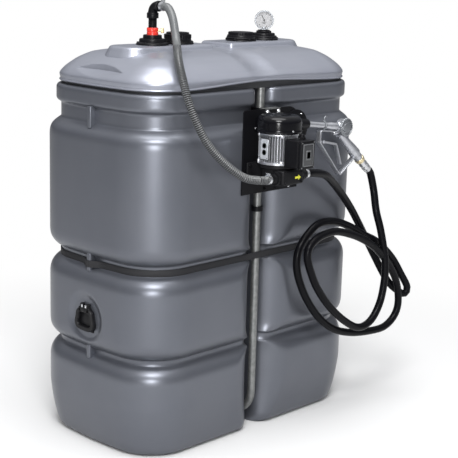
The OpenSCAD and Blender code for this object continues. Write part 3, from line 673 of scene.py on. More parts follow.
def flange(r_base, r_top, height):
    """The black base of a port, in rounded steps."""
    middle = (r_base + r_top) / 2
    return lathe([(0, 0), (r_base, 0), (r_base, 3), (r_base - 2, 6), (r_base - 5, 9), (middle + 2, 11),
                  (middle + 1, height * 0.55), (middle - 1, height * 0.62), (r_top + 1, height * 0.66),
                  (r_top, height - 1.5), (r_top - 1.5, height), (0, height)], 64)


def port_bolts(x, radius, z):
    parts = []
    for k in range(6):
        angle = math.radians(60 * k + 20)
        parts.append(placed(lathe([(0, 0), (5, 0), (5, 3), (4, 4.2), (0, 4.2)], 12),
                            at(x + radius * math.cos(angle), radius * math.sin(angle), z)))
    return parts


def make_suction_port():
    x = SUCTION_X
    joined("suction_flange_turned", [placed(flange(PORT_R, 34, 36), at(x, 0, PAD_TOP_Z))]
           + port_bolts(x, 52, PAD_TOP_Z + 7), BLACK_PLASTIC, stands_for=("suction_flange",))
    bush = lathe([(0, 0), (21, 0), (21, 8), (20, 9), (20, 12), (21, 13), (21, 23.5), (19.5, 26), (0, 26)], 60,
                 ribs=20, rib_depth=1.0, rib_rows=(5, 6, 7))
    joined("suction_bush_turned", [placed(bush, at(x, 0, PAD_TOP_Z + 36))], RED, stands_for=("suction_bush",))
    profile = [(0, 0)]
    for k in range(9):
        profile += [(14.6, 3.6 * k + 0.2), (16, 3.6 * k + 1.8)]
    profile += [(15, 33.8), (0, 34)]
    joined("suction_nipple_threaded", [placed(lathe(profile, 40), at(x, 0, PAD_TOP_Z + 62))], BLACK_PLASTIC,
           stands_for=("suction_nipple",))
    collar = lathe([(0, 0), (21, 0), (21.5, 1.5), (21.5, 17), (20, 19.5), (17.4, 20), (17.4, 24), (0, 24)], 48)
    bend = [(x, -26 + 26 * math.cos(math.radians(a)), 1576 + 26 * math.sin(math.radians(a)))
            for a in range(0, 91, 6)]
    bend = [(x, 0, 1572)] + bend + [(x, -34, 1602), (x, -42, 1602)]
    elbow = sweep(bend, lambda k: circle(17.4, 28), (1, 0, 0))
    mouth = placed(lathe([(0, 0), (19, 0), (19.5, 1.2), (19.5, 9), (18, 10.5), (0, 10.5)], 40),
                   at(x, -26, 1602) @ axis_turn((0, -1, 0)))
    joined("suction_elbow_moulded", [placed(collar, at(x, 0, PAD_TOP_Z + 96)), elbow, mouth], BLACK_PLASTIC,
           stands_for=("suction_elbow",))
    stem = placed(lathe([(0, 0), (3.2, 0), (3.2, 12), (4.6, 12.5), (4.6, 15), (0, 15)], 16),
                  at(x + 14, -14, PAD_TOP_Z + 51) @ axis_turn((0.72, -0.62, 0.1)))
    wings = []
    for s in (-1, 1):
        wings.append(placed(block((-1.3, 0, -2.5), (1.3, 9 * s, 8), 1.0, 2) if s > 0
                            else block((-1.3, -9, -2.5), (1.3, 0, 8), 1.0, 2),
                            at(x + 24, -23, PAD_TOP_Z + 52) @ axis_turn((0.72, -0.62, 0.1))))
    joined("wing_screw", [stem] + wings, BRASS)


def make_fill_cap():
    base = flange(PORT_R, 50, 20)
    cap = lathe([(0, 18), (50, 18), (50, 20), (51, 21), (51, 33), (50, 34.5), (43, 36), (42.5, 37), (42.5, 41),
                 (41, 42), (30, 42), (29, 41), (0, 41)], 180, ribs=36, rib_depth=2.4, rib_rows=(3, 4))
    bar = block((-34, -6, 38), (34, 6, 42), 2.0)
    joined("fill_cap_ribbed", [placed(base, at(FILL_X, 0, PAD_TOP_Z)), placed(cap, at(FILL_X, 0, PAD_TOP_Z)),
                               placed(bar, at(FILL_X, 0, PAD_TOP_Z))] + port_bolts(FILL_X, 54, PAD_TOP_Z + 6),
           BLACK_PLASTIC, stands_for=("fill_cap",))


def make_vent_cap():
    base = flange(PORT_R, 54, 22)
    cap = lathe([(0, 20), (50, 20), (50.5, 22), (50.5, 31), (48.5, 33.5), (24, 34), (0, 34)], 120,
                ribs=24, rib_depth=1.2, rib_rows=(2, 3))
    joined("vent_cap_stepped", [placed(base, at(VENT_X, 0, PAD_TOP_Z)), placed(cap, at(VENT_X, 0, PAD_TOP_Z))]
           + port_bolts(VENT_X, 56, PAD_TOP_Z + 5), BLACK_PLASTIC, stands_for=("vent_cap",))


GAUGE_Z = 1538.0
GAUGE_R = 38.0
at_gauge = at(GAUGE_X, 0, GAUGE_Z) @ Matrix.Rotation(math.radians(-45), 4, "Z") @ axis_turn((0, -1, 0))


def make_gauge():
    base = flange(PORT_R - 2, 44, 26)
    neck = lathe([(0, 24), (30, 24), (30, 33), (28, 35), (24, 35), (24, 38), (0, 38)], 8)
    joined("gauge_base_stepped", [placed(base, at(GAUGE_X, 0, PAD_TOP_Z)), placed(neck, at(GAUGE_X, 0, PAD_TOP_Z))]
           + port_bolts(GAUGE_X, 53, PAD_TOP_Z + 6), BLACK_PLASTIC, stands_for=("gauge_base",))
    case = lathe([(0, -12), (34, -12), (GAUGE_R - 0.5, -9), (GAUGE_R, 2), (GAUGE_R, 10.5), (GAUGE_R - 1.2, 12),
                  (34.5, 12), (33.5, 10.5), (33.5, 6.2), (0, 6.2)], 72)
    stem = placed(lathe([(0, 0), (11, 0), (11, 10), (9, 12), (8, 16), (0, 16)], 24),
                  at(GAUGE_X, 0, PAD_TOP_Z + 36))
    joined("gauge_case_turned", [placed(case, at_gauge), stem], COVER_GREY, stands_for=("gauge_case",))
    joined("gauge_dial_plate", [placed(lathe([(0, 5.6), (33.2, 5.6), (33.2, 7.0), (0, 7.0)], 64), at_gauge)], DIAL,
           stands_for=("gauge_dial",))
    marks = []
    for k in range(21):
        turn = Matrix.Rotation(math.radians(-225 - 13.5 * k), 4, "Z")
        longer = 6.5 if k % 5 == 0 else 4.0
        wide = 0.9 if k % 5 == 0 else 0.5
        marks.append(placed(block((29.5 - longer, -wide, 7.0), (29.5, wide, 7.3), 0), at_gauge @ turn))
    needle = Matrix.Rotation(math.radians(118), 4, "Z")
    marks.append(placed(block((-7, -1.0, 8.0), (25, 1.0, 8.6), 0.2, 1), at_gauge @ needle))
    marks.append(placed(lathe([(0, 6.8), (3.4, 6.8), (3.4, 9.2), (0, 9.2)], 20), at_gauge))
    for row, half in ((-9, 9), (-13, 6)):
        marks.append(placed(block((-half, row - 0.7, 7.0), (half, row + 0.7, 7.25), 0), at_gauge))
    joined("gauge_marks", marks, INK)


make_suction_port()
make_fill_cap()
make_vent_cap()
make_gauge()

# The carry grips in the dishes


def make_carry_grips():
    for side, node in ((-1, "carry_grip_left"), (1, "carry_grip_right")):
        parts = []
        d_path = spline([(0, -18, 31), (0, -34, 22), (0, -40, -2), (0, -44, -22), (0, -32, -36), (0, 0, -39),
                         (0, 32, -36), (0, 44, -22), (0, 40, -2), (0, 34, 22), (0, 18, 31)], 4.0)
        section = [(8, -9), (9, -7), (9, 4), (6, 8), (-6, 8), (-9, 4), (-9, -7), (-8, -9)]
        parts.append(sweep(d_path, lambda k: section, (1, 0, 0)))
        parts.append(block((-9, -30, 22), (8, 30, 42), 4.0, 3))
        for s in (-1, 1):
            parts.append(block((-9, s * 16 - 7, 38), (5, s * 16 + 7, 55), 3.0, 3))
        # A black back plate inside the loop: painted shadow for the shade inside the grip's hollow
        parts.append(block((-9, -40, -50), (-5, 40, 30), 1.0))
        place = at(side * (GRIP_SEAT_X + 9), 0, GRIP_Z) @ Matrix.Scale(side, 4, (1, 0, 0))
        joined(node + "_moulded", [placed(part, place) for part in parts], RUBBER, stands_for=(node,))
        # Two bright steel clips atop the grip: painted highlight for the light caught by the top edge of the hollow
        highlight_clips = [placed(block((4, s * 10 - 4, 40), (7, s * 10 + 4, 52), 1.0), place) for s in (-1, 1)]
        joined(node + "_clips_painted_highlight", highlight_clips, BRIGHT)


make_carry_grips()

# Bolts and plates


def bolt(head_r, head_h, washer_r=0.0):
    """A hexagon bolt head along Z with its washer."""
    parts = []
    start = 0.0
    if washer_r:
        parts.append(lathe([(0, 0), (washer_r, 0), (washer_r, 1.6), (0, 1.6)], 28))
        start = 1.6
    parts.append(lathe([(0, start), (head_r, start), (head_r, start + head_h - 1),
                        (head_r - 1, start + head_h), (0, start + head_h)], 6))
    parts.append(lathe([(0, start + head_h), (head_r * 0.45, start + head_h),
                        (head_r * 0.45, start + head_h + 2.5), (0, start + head_h + 2.5)], 16))
    return parts


def bolts(name, places, direction, head_r, head_h, washer_r, mat):
    turn = axis_turn(direction)
    parts = []
    for place in places:
        parts += [placed(part, at(*place) @ turn) for part in bolt(head_r, head_h, washer_r)]
    return joined(name, parts, mat)


PLATE_Y = -347.0
PLATE_HALF, PLATE_Z0, PLATE_Z1, PLATE_T = 150.0, 940.0, 1248.0, 4.0
PLATE_CORNER = 60.0
HOLDER_X, HOLDER_Z, HOLDER_R = 128.0, 1166.0, 68.0


def make_plate():
    outline = [(-PLATE_HALF, PLATE_Z0), (PLATE_HALF, PLATE_Z0)]
    outline += arc(PLATE_HALF - PLATE_CORNER, PLATE_Z1 - PLATE_CORNER, PLATE_CORNER, 0, 90, 16)
    outline += [(-PLATE_HALF + 6, PLATE_Z1), (-PLATE_HALF, PLATE_Z1 - 6)]
    plate = placed(prism(outline, PLATE_T), at(0, PLATE_Y + PLATE_T, 0) @ Matrix.Rotation(math.pi / 2, 4, "X"))
    joined("pump_plate_pressed", [plate], BLACK_PAINT, stands_for=("pump_plate",))
    # A pale zinc strip along the plate's top edge: painted highlight for the light that falls on that edge
    strip = block((-38, PLATE_Y - 1.4, PLATE_Z1 - 3.4), (44, PLATE_Y + 26, PLATE_Z1 - 0.4), 0.6)
    joined("plate_top_painted_highlight", [strip], ZINC)
    bolts("plate_top_bolts", [(-27, PLATE_Y, 1236), (32, PLATE_Y, 1236)], (0, -1, 0), 6, 4, 8, BRIGHT)
    bolts("plate_low_bolts", [(-27, PLATE_Y, 953), (32, PLATE_Y, 953)], (0, -1, 0), 6, 4, 8, BLACK_PAINT)
    bolts("plate_small_bolts", [(102, PLATE_Y, 949), (127, PLATE_Y, 956)], (0, -1, 0), 4, 3, 5.5, BRIGHT)


make_plate()

# Motor and pump

MOTOR_R, MOTOR_Z0, MOTOR_Z1 = 70.0, 1066.0, 1178.0
COWL_R, COWL_H = 84.0, 64.0
at_motor = at(MOTOR_X, MOTOR_Y, 0)


def make_motor():
    core = lathe([(0, MOTOR_Z0 + 2), (MOTOR_R - 11, MOTOR_Z0 + 2), (MOTOR_R - 11, MOTOR_Z1 - 2), (0, MOTOR_Z1 - 2)], 72)
    joined("motor_core", [placed(core, at_motor)], DARK_CORE)
    parts = []
    for k in range(44):
        angle = 2 * math.pi * k / 44
        turn = Matrix.Rotation(angle, 4, "Z")
        parts.append(placed(block((MOTOR_R - 14, -1.3, MOTOR_Z0 + 4), (MOTOR_R, 1.3, MOTOR_Z1 - 4), 0.6, 1), turn))
    parts.append(lathe([(0, MOTOR_Z0), (MOTOR_R + 0.5, MOTOR_Z0), (MOTOR_R + 0.5, MOTOR_Z0 + 8),
                        (MOTOR_R - 4, MOTOR_Z0 + 11), (0, MOTOR_Z0 + 11)], 72))
    parts.append(lathe([(0, MOTOR_Z1 - 9), (MOTOR_R - 2, MOTOR_Z1 - 9), (MOTOR_R + 1, MOTOR_Z1 - 6),
                        (MOTOR_R + 1, MOTOR_Z1), (0, MOTOR_Z1)], 72))
    for angle in (55, 145, 235, 325):
        turn = Matrix.Rotation(math.radians(angle), 4, "Z")
        parts.append(placed(block((MOTOR_R - 6, -7, MOTOR_Z0), (MOTOR_R + 4, 7, MOTOR_Z0 + 16), 2.5), turn))
        parts.append(placed(block((MOTOR_R - 6, -7, MOTOR_Z1 - 14), (MOTOR_R + 4, 7, MOTOR_Z1), 2.5), turn))
    seat = block((-MOTOR_R - 1, -20, MOTOR_Z0 + 16), (-MOTOR_R + 12, 20, MOTOR_Z0 + 98), 1.0)
    joined("motor_finned", [placed(part, at_motor) for part in parts], ALUMINIUM, stands_for=("motor_body",))
    joined("motor_plate_seat", [placed(seat, at_motor)], DARK_SEAT)
    heads = []
    for angle in (196, 212, 228, 244, 260):
        a = math.radians(angle)
        heads.append(placed(lathe([(0, 0), (3.2, 0), (2.6, 1.8), (0, 2.2)], 14),
                            at_motor @ at((MOTOR_R + 1) * math.cos(a), (MOTOR_R + 1) * math.sin(a), MOTOR_Z1 - 3.5)
                            @ axis_turn((math.cos(a), math.sin(a), 0))))
    joined("motor_rim_screws", heads, BRIGHT)
    plate = block((-MOTOR_R - 2.6, -18, MOTOR_Z0 + 20), (-MOTOR_R - 0.8, 18, MOTOR_Z0 + 92), 0.5, 1)
    joined("motor_plate_blank", [placed(plate, at_motor)], PALE_PLATE, stands_for=("motor_plate",))
    rivets = []
    for z in (MOTOR_Z0 + 25, MOTOR_Z0 + 87):
        for y in (-14, 14):
            rivets.append(placed(lathe([(0, 0), (2.4, 0), (1.8, 1.2), (0, 1.5)], 12),
                                 at_motor @ at(-MOTOR_R - 2.6, y, z) @ axis_turn((-1, 0, 0))))
    joined("plate_rivets", rivets, BRIGHT)
    marks = []
    for z in (MOTOR_Z0 + 44, MOTOR_Z0 + 68):
        marks.append(placed(lathe([(8.2, 0), (9.6, 0), (9.6, 0.5), (8.2, 0.5), (8.2, 0)], 32),
                            at_motor @ at(-MOTOR_R - 2.6, 0, z) @ axis_turn((-1, 0, 0))))
    joined("plate_rings", marks, INK)


def make_cowl():
    z = MOTOR_Z1
    profile = [(0, z), (COWL_R, z), (COWL_R + 0.6, z + 1), (COWL_R + 0.6, z + 6), (COWL_R - 0.6, z + 7.5)]
    profile += [(COWL_R - 0.8, z + 14), (COWL_R - 1, z + COWL_H - 26)]
    profile += [(COWL_R - 27 + 26 * math.cos(math.radians(a)), z + COWL_H - 26 + 24 * math.sin(math.radians(a)))
                for a in range(10, 91, 10)]
    profile += [(44, z + COWL_H - 0.6), (42, z + COWL_H - 3), (28, z + COWL_H - 3), (26, z + COWL_H - 0.6),
                (22, z + COWL_H), (0, z + COWL_H)]
    joined("fan_cowl_pressed", [placed(lathe(profile, 96), at_motor)], BLACK_GLOSS, stands_for=("fan_cowl",))
    spokes = []
    for k in range(24):
        turn = Matrix.Rotation(math.radians(15 * k), 4, "Z")
        spokes.append(placed(block((27, -1.6, z + COWL_H - 4), (43, 1.6, z + COWL_H - 0.8), 0), at_motor @ turn))
    joined("cowl_grille", spokes, BLACK_GLOSS)
    screws = []
    for angle in (20, 140, 260):
        a = math.radians(angle)
        screws.append(placed(lathe([(0, 0), (4, 0), (3.2, 2), (0, 2.4)], 16),
                             at_motor @ at((COWL_R - 0.6) * math.cos(a), (COWL_R - 0.6) * math.sin(a), z + 11)
                             @ axis_turn((math.cos(a), math.sin(a), 0))))
    joined("cowl_screws", screws, BRIGHT)


BOX_X0, BOX_W, BOX_FRONT, BOX_Z0, BOX_H = -106.0, 72.0, -586.0, 1064.0, 98.0


def make_terminal_box():
    x1 = BOX_X0 + BOX_W
    shell = block((BOX_X0, BOX_FRONT + 16, BOX_Z0), (x1, MOTOR_Y - 66, BOX_Z0 + BOX_H), 4.0, 3)
    lid = block((BOX_X0 - 1, BOX_FRONT, BOX_Z0 - 1), (x1 + 1, BOX_FRONT + 15, BOX_Z0 + BOX_H + 1), 4.0, 3)
    foot = block((BOX_X0 + 8, MOTOR_Y - 76, BOX_Z0 + 8), (x1 - 8, MOTOR_Y - 60, BOX_Z0 + BOX_H - 8), 2.0)
    joined("terminal_box_moulded", [shell, lid, foot], BLACK_PLASTIC, stands_for=("terminal_box",))
    frame_parts = [block((BOX_X0 + 7, BOX_FRONT - 1.5, BOX_Z0 + 8), (x1 - 7, BOX_FRONT + 1, BOX_Z0 + BOX_H - 8), 1.0)]
    joined("switch_panel_flat", frame_parts, PANEL, stands_for=("switch_panel",))
    rim = []
    low, high = BOX_Z0 + 10, BOX_Z0 + BOX_H - 10
    left, right = BOX_X0 + 9, x1 - 9
    for a, b in (((left, low), (right, low + 3)), ((left, high - 3), (right, high)),
                 ((left, low), (left + 3, high)), ((right - 3, low), (right, high))):
        rim.append(block((a[0], BOX_FRONT - 3, a[1]), (b[0], BOX_FRONT - 1, b[1]), 0.6, 1))
    rim.append(block((left + 16, BOX_FRONT - 3, low + 22), (right - 14, BOX_FRONT - 1, high - 22), 0.8, 1))
    joined("switch_rim", rim, SWITCH_GREY)
    rocker = block((left + 19, BOX_FRONT - 3, low + 27), (right - 17, BOX_FRONT - 2, high - 27), 0.4, 1)
    joined("switch_rocker", [rocker], PALE_PLATE)
    screws = []
    for x in (BOX_X0 + 5, x1 - 5):
        for z in (BOX_Z0 + 5, BOX_Z0 + BOX_H - 5):
            screws.append(placed(lathe([(0, 0), (2.6, 0), (2.0, 1.4), (0, 1.6)], 14),
                                 at(x, BOX_FRONT, z) @ axis_turn((0, -1, 0))))
    joined("box_screws", screws, SWITCH_GREY)
    gland = [placed(lathe([(0, 0), (13, 0), (13, 8), (0, 8)], 6), at(x1 - 18, MOTOR_Y - 100, BOX_Z0 + BOX_H)),
             placed(lathe([(0, 8), (10, 8), (10, 15), (8, 18), (0, 18)], 24),
                    at(x1 - 18, MOTOR_Y - 100, BOX_Z0 + BOX_H))]
    joined("cable_gland", gland, BLACK_PLASTIC)


def make_pump():
    barrel = placed(lathe([(0, 990), (58, 990), (62, 994), (62, 1050), (70, 1054), (70, 1063), (62, 1066),
                           (0, 1066)], 72), at_motor)
    front = block((MOTOR_X - 56, PORT_Y - 30, 996), (MOTOR_X + 56, PORT_Y + 60, 1050), 9.0, 4)
    arm = block((MOTOR_X - 44, MOTOR_Y, 996), (MOTOR_X + 44, PLATE_Y, 1056), 5.0, 3)
    foot = block((MOTOR_X - 66, PLATE_Y - 9, 986), (MOTOR_X + 66, PLATE_Y - 0.2, 1060), 3.0, 3)
    line = placed(lathe([(0, 0), (24, 0), (24, 7), (22, 9), (22, 131), (24, 133), (24, 140), (0, 140)], 48),
                  at(MOTOR_X - 70, PORT_Y, PORT_Z) @ axis_turn((1, 0, 0)))
    joined("pump_body_cast", [barrel, front, arm, foot, line], BLACK_CASTING, stands_for=("pump_body",))
    heads = []
    for x in (-42, 42):
        for z in (1006, 1042):
            heads.append((MOTOR_X + x, PORT_Y - 30, z))
    bolts("pump_cover_bolts", heads, (0, -1, 0), 4.6, 3.0, 0, BLACK_CASTING)
    bolts("pump_foot_bolts", [(MOTOR_X - 56, PLATE_Y - 9, 996), (MOTOR_X + 56, PLATE_Y - 9, 996),
                              (MOTOR_X - 56, PLATE_Y - 9, 1050), (MOTOR_X + 56, PLATE_Y - 9, 1050)],
          (0, -1, 0), 5.5, 4, 8, BLACK_PAINT)
    for name, start, node in (("inlet_spigot", MOTOR_X - 90, "inlet_port"), ("outlet_spigot", MOTOR_X + 70, "outlet_port")):
        spigot = lathe([(0, 0), (17, 0), (17, 3), (16.4, 4), (16.4, 16), (17, 17), (17, 20), (0, 20)], 40)
        joined(name, [placed(spigot, at(start, PORT_Y, PORT_Z) @ axis_turn((1, 0, 0)))], BLACK_CASTING,
               stands_for=(node,))


ARROW_LENGTH, ARROW_STEM, ARROW_HEAD = 30.0, 4.0, 9.0


def make_arrow():
    outline = [(0, -ARROW_STEM), (ARROW_LENGTH * 0.55, -ARROW_STEM), (ARROW_LENGTH * 0.55, -ARROW_HEAD),
               (ARROW_LENGTH, 0), (ARROW_LENGTH * 0.55, ARROW_HEAD), (ARROW_LENGTH * 0.55, ARROW_STEM),
               (0, ARROW_STEM)]
    plate = prism(outline, 1.0)
    joined("flow_arrow", [placed(plate, at(MOTOR_X + 8, PORT_Y - 29.8, 1022) @ Matrix.Rotation(math.pi / 2, 4, "X"))],
           YELLOW)


make_motor()
make_cowl()
make_terminal_box()
make_pump()
make_arrow()

# Hose clamps


def make_clamp(name, node, place, direction):
    band = loft([[(r * math.cos(a), r * math.sin(a), z) for a in [2 * math.pi * k / 40 for k in range(40)]]
                 for r, z in ((HOSE_R + 0.2, 0), (HOSE_R + 1.8, 0.4), (HOSE_R + 1.8, 11.6), (HOSE_R + 0.2, 12))],
                closed_ends=False)
    count = 40
    faces = band[1] + [(k, 3 * count + k, 3 * count + (k + 1) % count, (k + 1) % count) for k in range(count)]
    housing = block((-6, HOSE_R + 0.5, 1), (6, HOSE_R + 8, 11), 1.5)
    screw = placed(lathe([(0, 0), (3.8, 0), (3.8, 5), (3, 6), (0, 6)], 6),
                   at(5, HOSE_R + 5, 6) @ axis_turn((1, 0, 0)))
    matrix = at(*place) @ axis_turn(direction)
    joined(name, [placed((band[0], faces), matrix), placed(housing, matrix), placed(screw, matrix)], BRIGHT,
           stands_for=(node,))


make_clamp("outlet_clamp_band", "outlet_clamp", OUTLET_END + Vector((4, 0, 0)), (1, 0, 0))
make_clamp("inlet_clamp_band", "inlet_clamp", INLET_END - Vector((16, 0, 0)), (1, 0, 0))
make_clamp("elbow_clamp_band", "elbow_clamp", ELBOW_END - Vector((0, 4, 0)), (0, -1, 0))

# Nozzle and holder

SPOUT_R, COVER_R = 11.0, 37.0
HINGE_X, HINGE_Z = -112.0, -62.0


def make_holder():
    disc = placed(lathe([(0, 0), (HOLDER_R, 0), (HOLDER_R, 3.5), (HOLDER_R - 2, 5), (0, 5)], 72),
                  at(HOLDER_X, PLATE_Y, HOLDER_Z) @ axis_turn((0, -1, 0)))
    arm = block((HOLDER_X - 28, NOZZLE.y - 6, NOZZLE.z + 6), (HOLDER_X + 16, PLATE_Y - 2, NOZZLE.z + 46), 4.0, 3)
    sleeve = placed(lathe([(0, 0), (17, 0), (19, 2), (19, 55), (17.5, 58), (13, 58), (12, 56), (0, 56)], 48),
                    at_nozzle @ at(-272, 0, 0) @ axis_turn((1, 0, 0)))
    joined("nozzle_holder_moulded", [disc, arm, sleeve], BLACK_PAINT, stands_for=("nozzle_holder",))
    rim_bolts = [(HOLDER_X + 57 * math.cos(math.radians(a)), PLATE_Y - 5, HOLDER_Z + 57 * math.sin(math.radians(a)))
                 for a in (62, 14, -34)]
    bolts("holder_bolts", rim_bolts, (0, -1, 0), 3.4, 2, 0, BRIGHT)


def make_nozzle():
    spout = lathe([(0, 0), (SPOUT_R - 1.5, 0), (SPOUT_R, 1.5), (SPOUT_R, 150), (12.5, 153), (12.5, 166),
                   (14, 168), (14, 212), (0, 214)], 40)
    joined("nozzle_spout_tube", [placed(spout, at_nozzle @ at(-250, 0, 0) @ axis_turn((1, 0, 0)))], ALUMINIUM,
           stands_for=("nozzle_spout",))
    ring = placed(lathe([(0, 0), (15, 0), (17, 1.5), (17, 6.5), (15, 8), (0, 8)], 40),
                  at(-120, 0, 0) @ axis_turn((1, 0, 0)))
    hook = sweep(spline([(-116, 0, 12), (-116, 0, 22), (-115, 0, 30), (-110, 0, 34), (-103, 0, 33)], 2.0),
                 lambda k: circle(3.4, 12), (0, 1, 0))
    joined("nozzle_hook_ring", [placed(ring, at_nozzle), placed(hook, at_nozzle)], COVER_GREY,
           stands_for=("nozzle_hook",))
    body_parts = [lathe([(0, -15), (28, -15), (32, -11), (32, 11), (28, 15), (0, 15)], 56)]
    body_parts = [placed(part, axis_turn((0, -1, 0))) for part in body_parts]
    body_parts.append(placed(lathe([(0, 0), (15, 0), (18, 3), (18, 36), (0, 36)], 40),
                             at(-36, 0, 0) @ axis_turn((1, 0, 0))))
    body_parts.append(placed(lathe([(0, 0), (6, 0), (8, 2), (8, 50), (0, 50)], 28),
                             at(-56, 0, -26.5) @ Matrix.Rotation(math.radians(80), 4, "Y")))
    along = Vector((math.cos(GRIP_ANGLE), 0, -math.sin(GRIP_ANGLE)))
    grip = [GRIP_START + along * (GRIP_LENGTH * k / 24 - 6 * (k == 0)) for k in range(25)]
    body_parts.append(sweep(grip, lambda k: circle(GRIP_R - 3.2 * math.cos(math.pi * min(k / 20, 1)) * (k < 20)
                                                   - 0.8 * (k >= 20) * (k - 20) / 4 - 0.5 * (k >= 20), 32), (0, 1, 0)))
    joined("nozzle_body_cast", [placed(part, at_nozzle) for part in body_parts], ALUMINIUM,
           stands_for=("nozzle_body",))
    cover = lathe([(0, 13), (COVER_R, 13), (COVER_R, 17), (COVER_R - 1.5, 21), (COVER_R - 6, 23), (28, 23.4),
                   (27, 21.5), (20, 21.5), (19, 24.5), (15, 26), (0, 26)], 144, ribs=24, rib_depth=2.0, rib_rows=(1, 2, 3))
    bars = [placed(block((-COVER_R + 9, h - 2, 22), (COVER_R - 9, h + 2, 25), 0.8, 1), Matrix.Rotation(0.5, 4, "Z"))
            for h in (-12, -4, 4, 12)]
    joined("nozzle_cover_cap", [placed(part, at_nozzle @ axis_turn((0, -1, 0))) for part in [cover] + bars], COVER_GREY,
           stands_for=("nozzle_cover",))


def rounded_path(points, radius, steps=5):
    """A flat path in the nozzle's plane with its corners rounded."""
    out = [Vector((points[0][0], 0, points[0][1]))]
    for before, here, after in zip(points, points[1:], points[2:]):
        p, q, r = (Vector((v[0], 0, v[1])) for v in (before, here, after))
        reach = min(radius, (q - p).length / 2, (r - q).length / 2)
        start = q + (p - q).normalized() * reach
        stop = q + (r - q).normalized() * reach
        for k in range(steps + 1):
            t = k / steps
            out.append(start * (1 - t) ** 2 + q * 2 * t * (1 - t) + stop * t ** 2)
    out.append(Vector((points[-1][0], 0, points[-1][1])))
    return out


def strip(width, thick):
    """The section of a cast strip with soft edges."""
    w, t = width / 2, thick / 2
    return [(-t, -w + 1.5), (-t + 1, -w), (t - 1, -w), (t, -w + 1.5), (t, w - 1.5), (t - 1, w), (-t + 1, w),
            (-t, w - 1.5)]


def make_guard():
    outline = [(-54, -20), (-138, -20), (-134, -64), (-14, -166), (10, -185), (94, -108)]
    guard = sweep(rounded_path(outline, 9), lambda k: strip(22, 6), (0, 1, 0))
    holder = block((-136, -1.5, HINGE_Z - 4.5), (HINGE_X + 4, 1.5, HINGE_Z + 4.5), 0.5, 1)
    pin = placed(lathe([(0, -12), (2.5, -12), (2.5, 12), (0, 12)], 20), at(HINGE_X, 0, HINGE_Z) @ axis_turn((0, 1, 0)))
    joined("trigger_guard_cast", [placed(part, at_nozzle) for part in (guard, holder, pin)], ALUMINIUM,
           stands_for=("trigger_guard",))
    parts = []
    for s in (-1, 1):
        lug = lathe([(0, 0), (7, 0), (7, 3.6), (0, 3.6)], 24)
        parts.append(placed(lug, at(HINGE_X, s * 8 - 1.8, HINGE_Z) @ axis_turn((0, 1, 0))))
        arm = sweep(rounded_path([(HINGE_X, HINGE_Z), (-60, -65), (-33, -68)], 12), lambda k: strip(3.4, 9), (0, 1, 0))
        parts.append(placed(arm, at(0, s * 8, 0)))
    lever = sweep(rounded_path([(-62, -66), (-32, -66), (10, -144)], 14), lambda k: strip(18, 6), (0, 1, 0))
    parts.append(lever)
    joined("trigger_lever", [placed(part, at_nozzle) for part in parts], ALUMINIUM, body=TRIGGER,
           stands_for=("trigger",))


def make_swivel():
    along = at_nozzle @ Matrix.Translation(GRIP_START) @ axis_turn((math.cos(GRIP_ANGLE), 0, -math.sin(GRIP_ANGLE)))
    nut = lathe([(0, 0), (19, 0), (20, 1.5), (20, 12), (18.5, 13.5), (18.5, SWIVEL_LENGTH), (0, SWIVEL_LENGTH)], 48,
                ribs=12, rib_depth=1.0, rib_rows=(2, 3))
    joined("hose_swivel_nut", [placed(nut, along @ at(0, 0, GRIP_LENGTH))], BRASS_PALE, stands_for=("hose_swivel",))
    ferrule = lathe([(0, 0), (15, 0), (16.4, 1.5), (16.4, 20), (17, 21), (17, 27), (16.4, 28), (16.4, 38), (17, 39),
                     (17, 45), (16.4, 46), (16.4, 59), (15.6, FERRULE_LENGTH), (0, FERRULE_LENGTH)], 40)
    joined("hose_ferrule_crimped", [placed(ferrule, along @ at(0, 0, GRIP_LENGTH + SWIVEL_LENGTH))], BRIGHT,
           stands_for=("hose_ferrule",))


make_holder()
make_nozzle()
make_guard()
make_swivel()

# Finishes of the CAD nodes that stay

KEPT = {"support_tube": ZINC, "tube_clip": BLACK_PLASTIC, "upper_tube_clamp": BLACK_PAINT,
        "lower_tube_clamp": BLACK_PAINT}
for node, finish in KEPT.items():
    mesh = nodes[node].data
    mesh.materials.clear()
    mesh.materials.append(finish)

# Floor, world and lamps

FLOOR_HALF = 60000.0
FLOOR_CLEAR = 1.0
FLOOR_FADE = 2.4


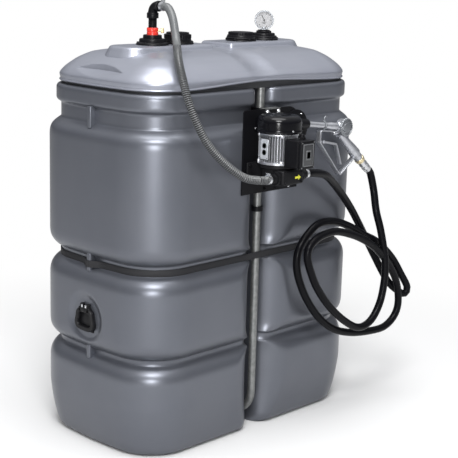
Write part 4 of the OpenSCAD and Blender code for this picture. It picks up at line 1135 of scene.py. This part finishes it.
def make_floor():
    half = FLOOR_HALF * MM
    mesh = bpy.data.meshes.new("floor")
    mesh.from_pydata([(-half, -half, 0), (half, -half, 0), (half, half, 0), (-half, half, 0)], [], [(0, 1, 2, 3)])
    floor = bpy.data.objects.new("floor", mesh)
    bpy.context.scene.collection.objects.link(floor)
    made = bpy.data.materials.new("floor_pale")
    made.use_nodes = True
    tree = made.node_tree
    shader = tree.nodes["Principled BSDF"]
    socket(shader, "Base Color", (0.66, 0.66, 0.66, 1))
    socket(shader, "Roughness", 0.9)
    socket(shader, "Specular IOR Level", 0.1)
    white = tree.nodes.new("ShaderNodeEmission")
    white.inputs["Color"].default_value = (1, 1, 1, 1)
    white.inputs["Strength"].default_value = 1.0
    place = tree.nodes.new("ShaderNodeTexCoord")
    length = tree.nodes.new("ShaderNodeVectorMath")
    length.operation = "LENGTH"
    fade = tree.nodes.new("ShaderNodeMapRange")
    fade.inputs["From Min"].default_value = FLOOR_CLEAR
    fade.inputs["From Max"].default_value = FLOOR_FADE
    fade.interpolation_type = "SMOOTHSTEP"
    path = tree.nodes.new("ShaderNodeLightPath")
    seen = tree.nodes.new("ShaderNodeMath")
    seen.operation = "MULTIPLY"
    mix = tree.nodes.new("ShaderNodeMixShader")
    out = tree.nodes["Material Output"]
    tree.links.new(place.outputs["Object"], length.inputs[0])
    tree.links.new(length.outputs["Value"], fade.inputs["Value"])
    tree.links.new(fade.outputs["Result"], seen.inputs[0])
    tree.links.new(path.outputs["Is Camera Ray"], seen.inputs[1])
    tree.links.new(seen.outputs["Value"], mix.inputs["Fac"])
    tree.links.new(shader.outputs["BSDF"], mix.inputs[1])
    tree.links.new(white.outputs["Emission"], mix.inputs[2])
    tree.links.new(mix.outputs["Shader"], out.inputs["Surface"])
    mesh.materials.append(made)


def make_world():
    world = bpy.data.worlds.new("studio")
    bpy.context.scene.world = world
    world.use_nodes = True
    tree = world.node_tree
    back = tree.nodes["Background"]
    place = tree.nodes.new("ShaderNodeTexCoord")
    split = tree.nodes.new("ShaderNodeSeparateXYZ")
    ramp = tree.nodes.new("ShaderNodeValToRGB")
    stops = ramp.color_ramp.elements
    stops[0].position, stops[0].color = 0.0, (0.11, 0.11, 0.12, 1)
    stops[1].position, stops[1].color = 1.0, (1.0, 1.0, 1.0, 1)
    middle = stops.new(0.35)
    middle.color = (0.26, 0.27, 0.295, 1)
    path = tree.nodes.new("ShaderNodeLightPath")
    mix = tree.nodes.new("ShaderNodeMix")
    mix.data_type = "RGBA"
    mix.inputs[7].default_value = (1, 1, 1, 1)
    tree.links.new(place.outputs["Generated"], split.inputs["Vector"])
    tree.links.new(split.outputs["Z"], ramp.inputs["Fac"])
    tree.links.new(ramp.outputs["Color"], mix.inputs[6])
    tree.links.new(path.outputs["Is Camera Ray"], mix.inputs["Factor"])
    tree.links.new(mix.outputs[2], back.inputs["Color"])


def lamp(name, place, target, size, power):
    data = bpy.data.lights.new(name, "AREA")
    data.shape = "DISK"
    data.size = size
    data.energy = power
    obj = bpy.data.objects.new(name, data)
    bpy.context.scene.collection.objects.link(obj)
    obj.location = place
    obj.rotation_mode = "QUATERNION"
    obj.rotation_quaternion = (Vector(target) - Vector(place)).to_track_quat("-Z", "Y")


make_floor()
make_world()
lamp("top_softbox", (-0.4, -0.6, 5.0), (0, 0, 1.0), 3.0, 150)
lamp("slant_softbox", (-3.0, -3.1, 5.2), (0, 0, 1.2), 2.1, 290)
lamp("corner_softbox", (-4.4, -4.3, 1.6), (0, 0, 0.8), 1.3, 175)
bpy.context.scene.view_settings.view_transform = "Standard"
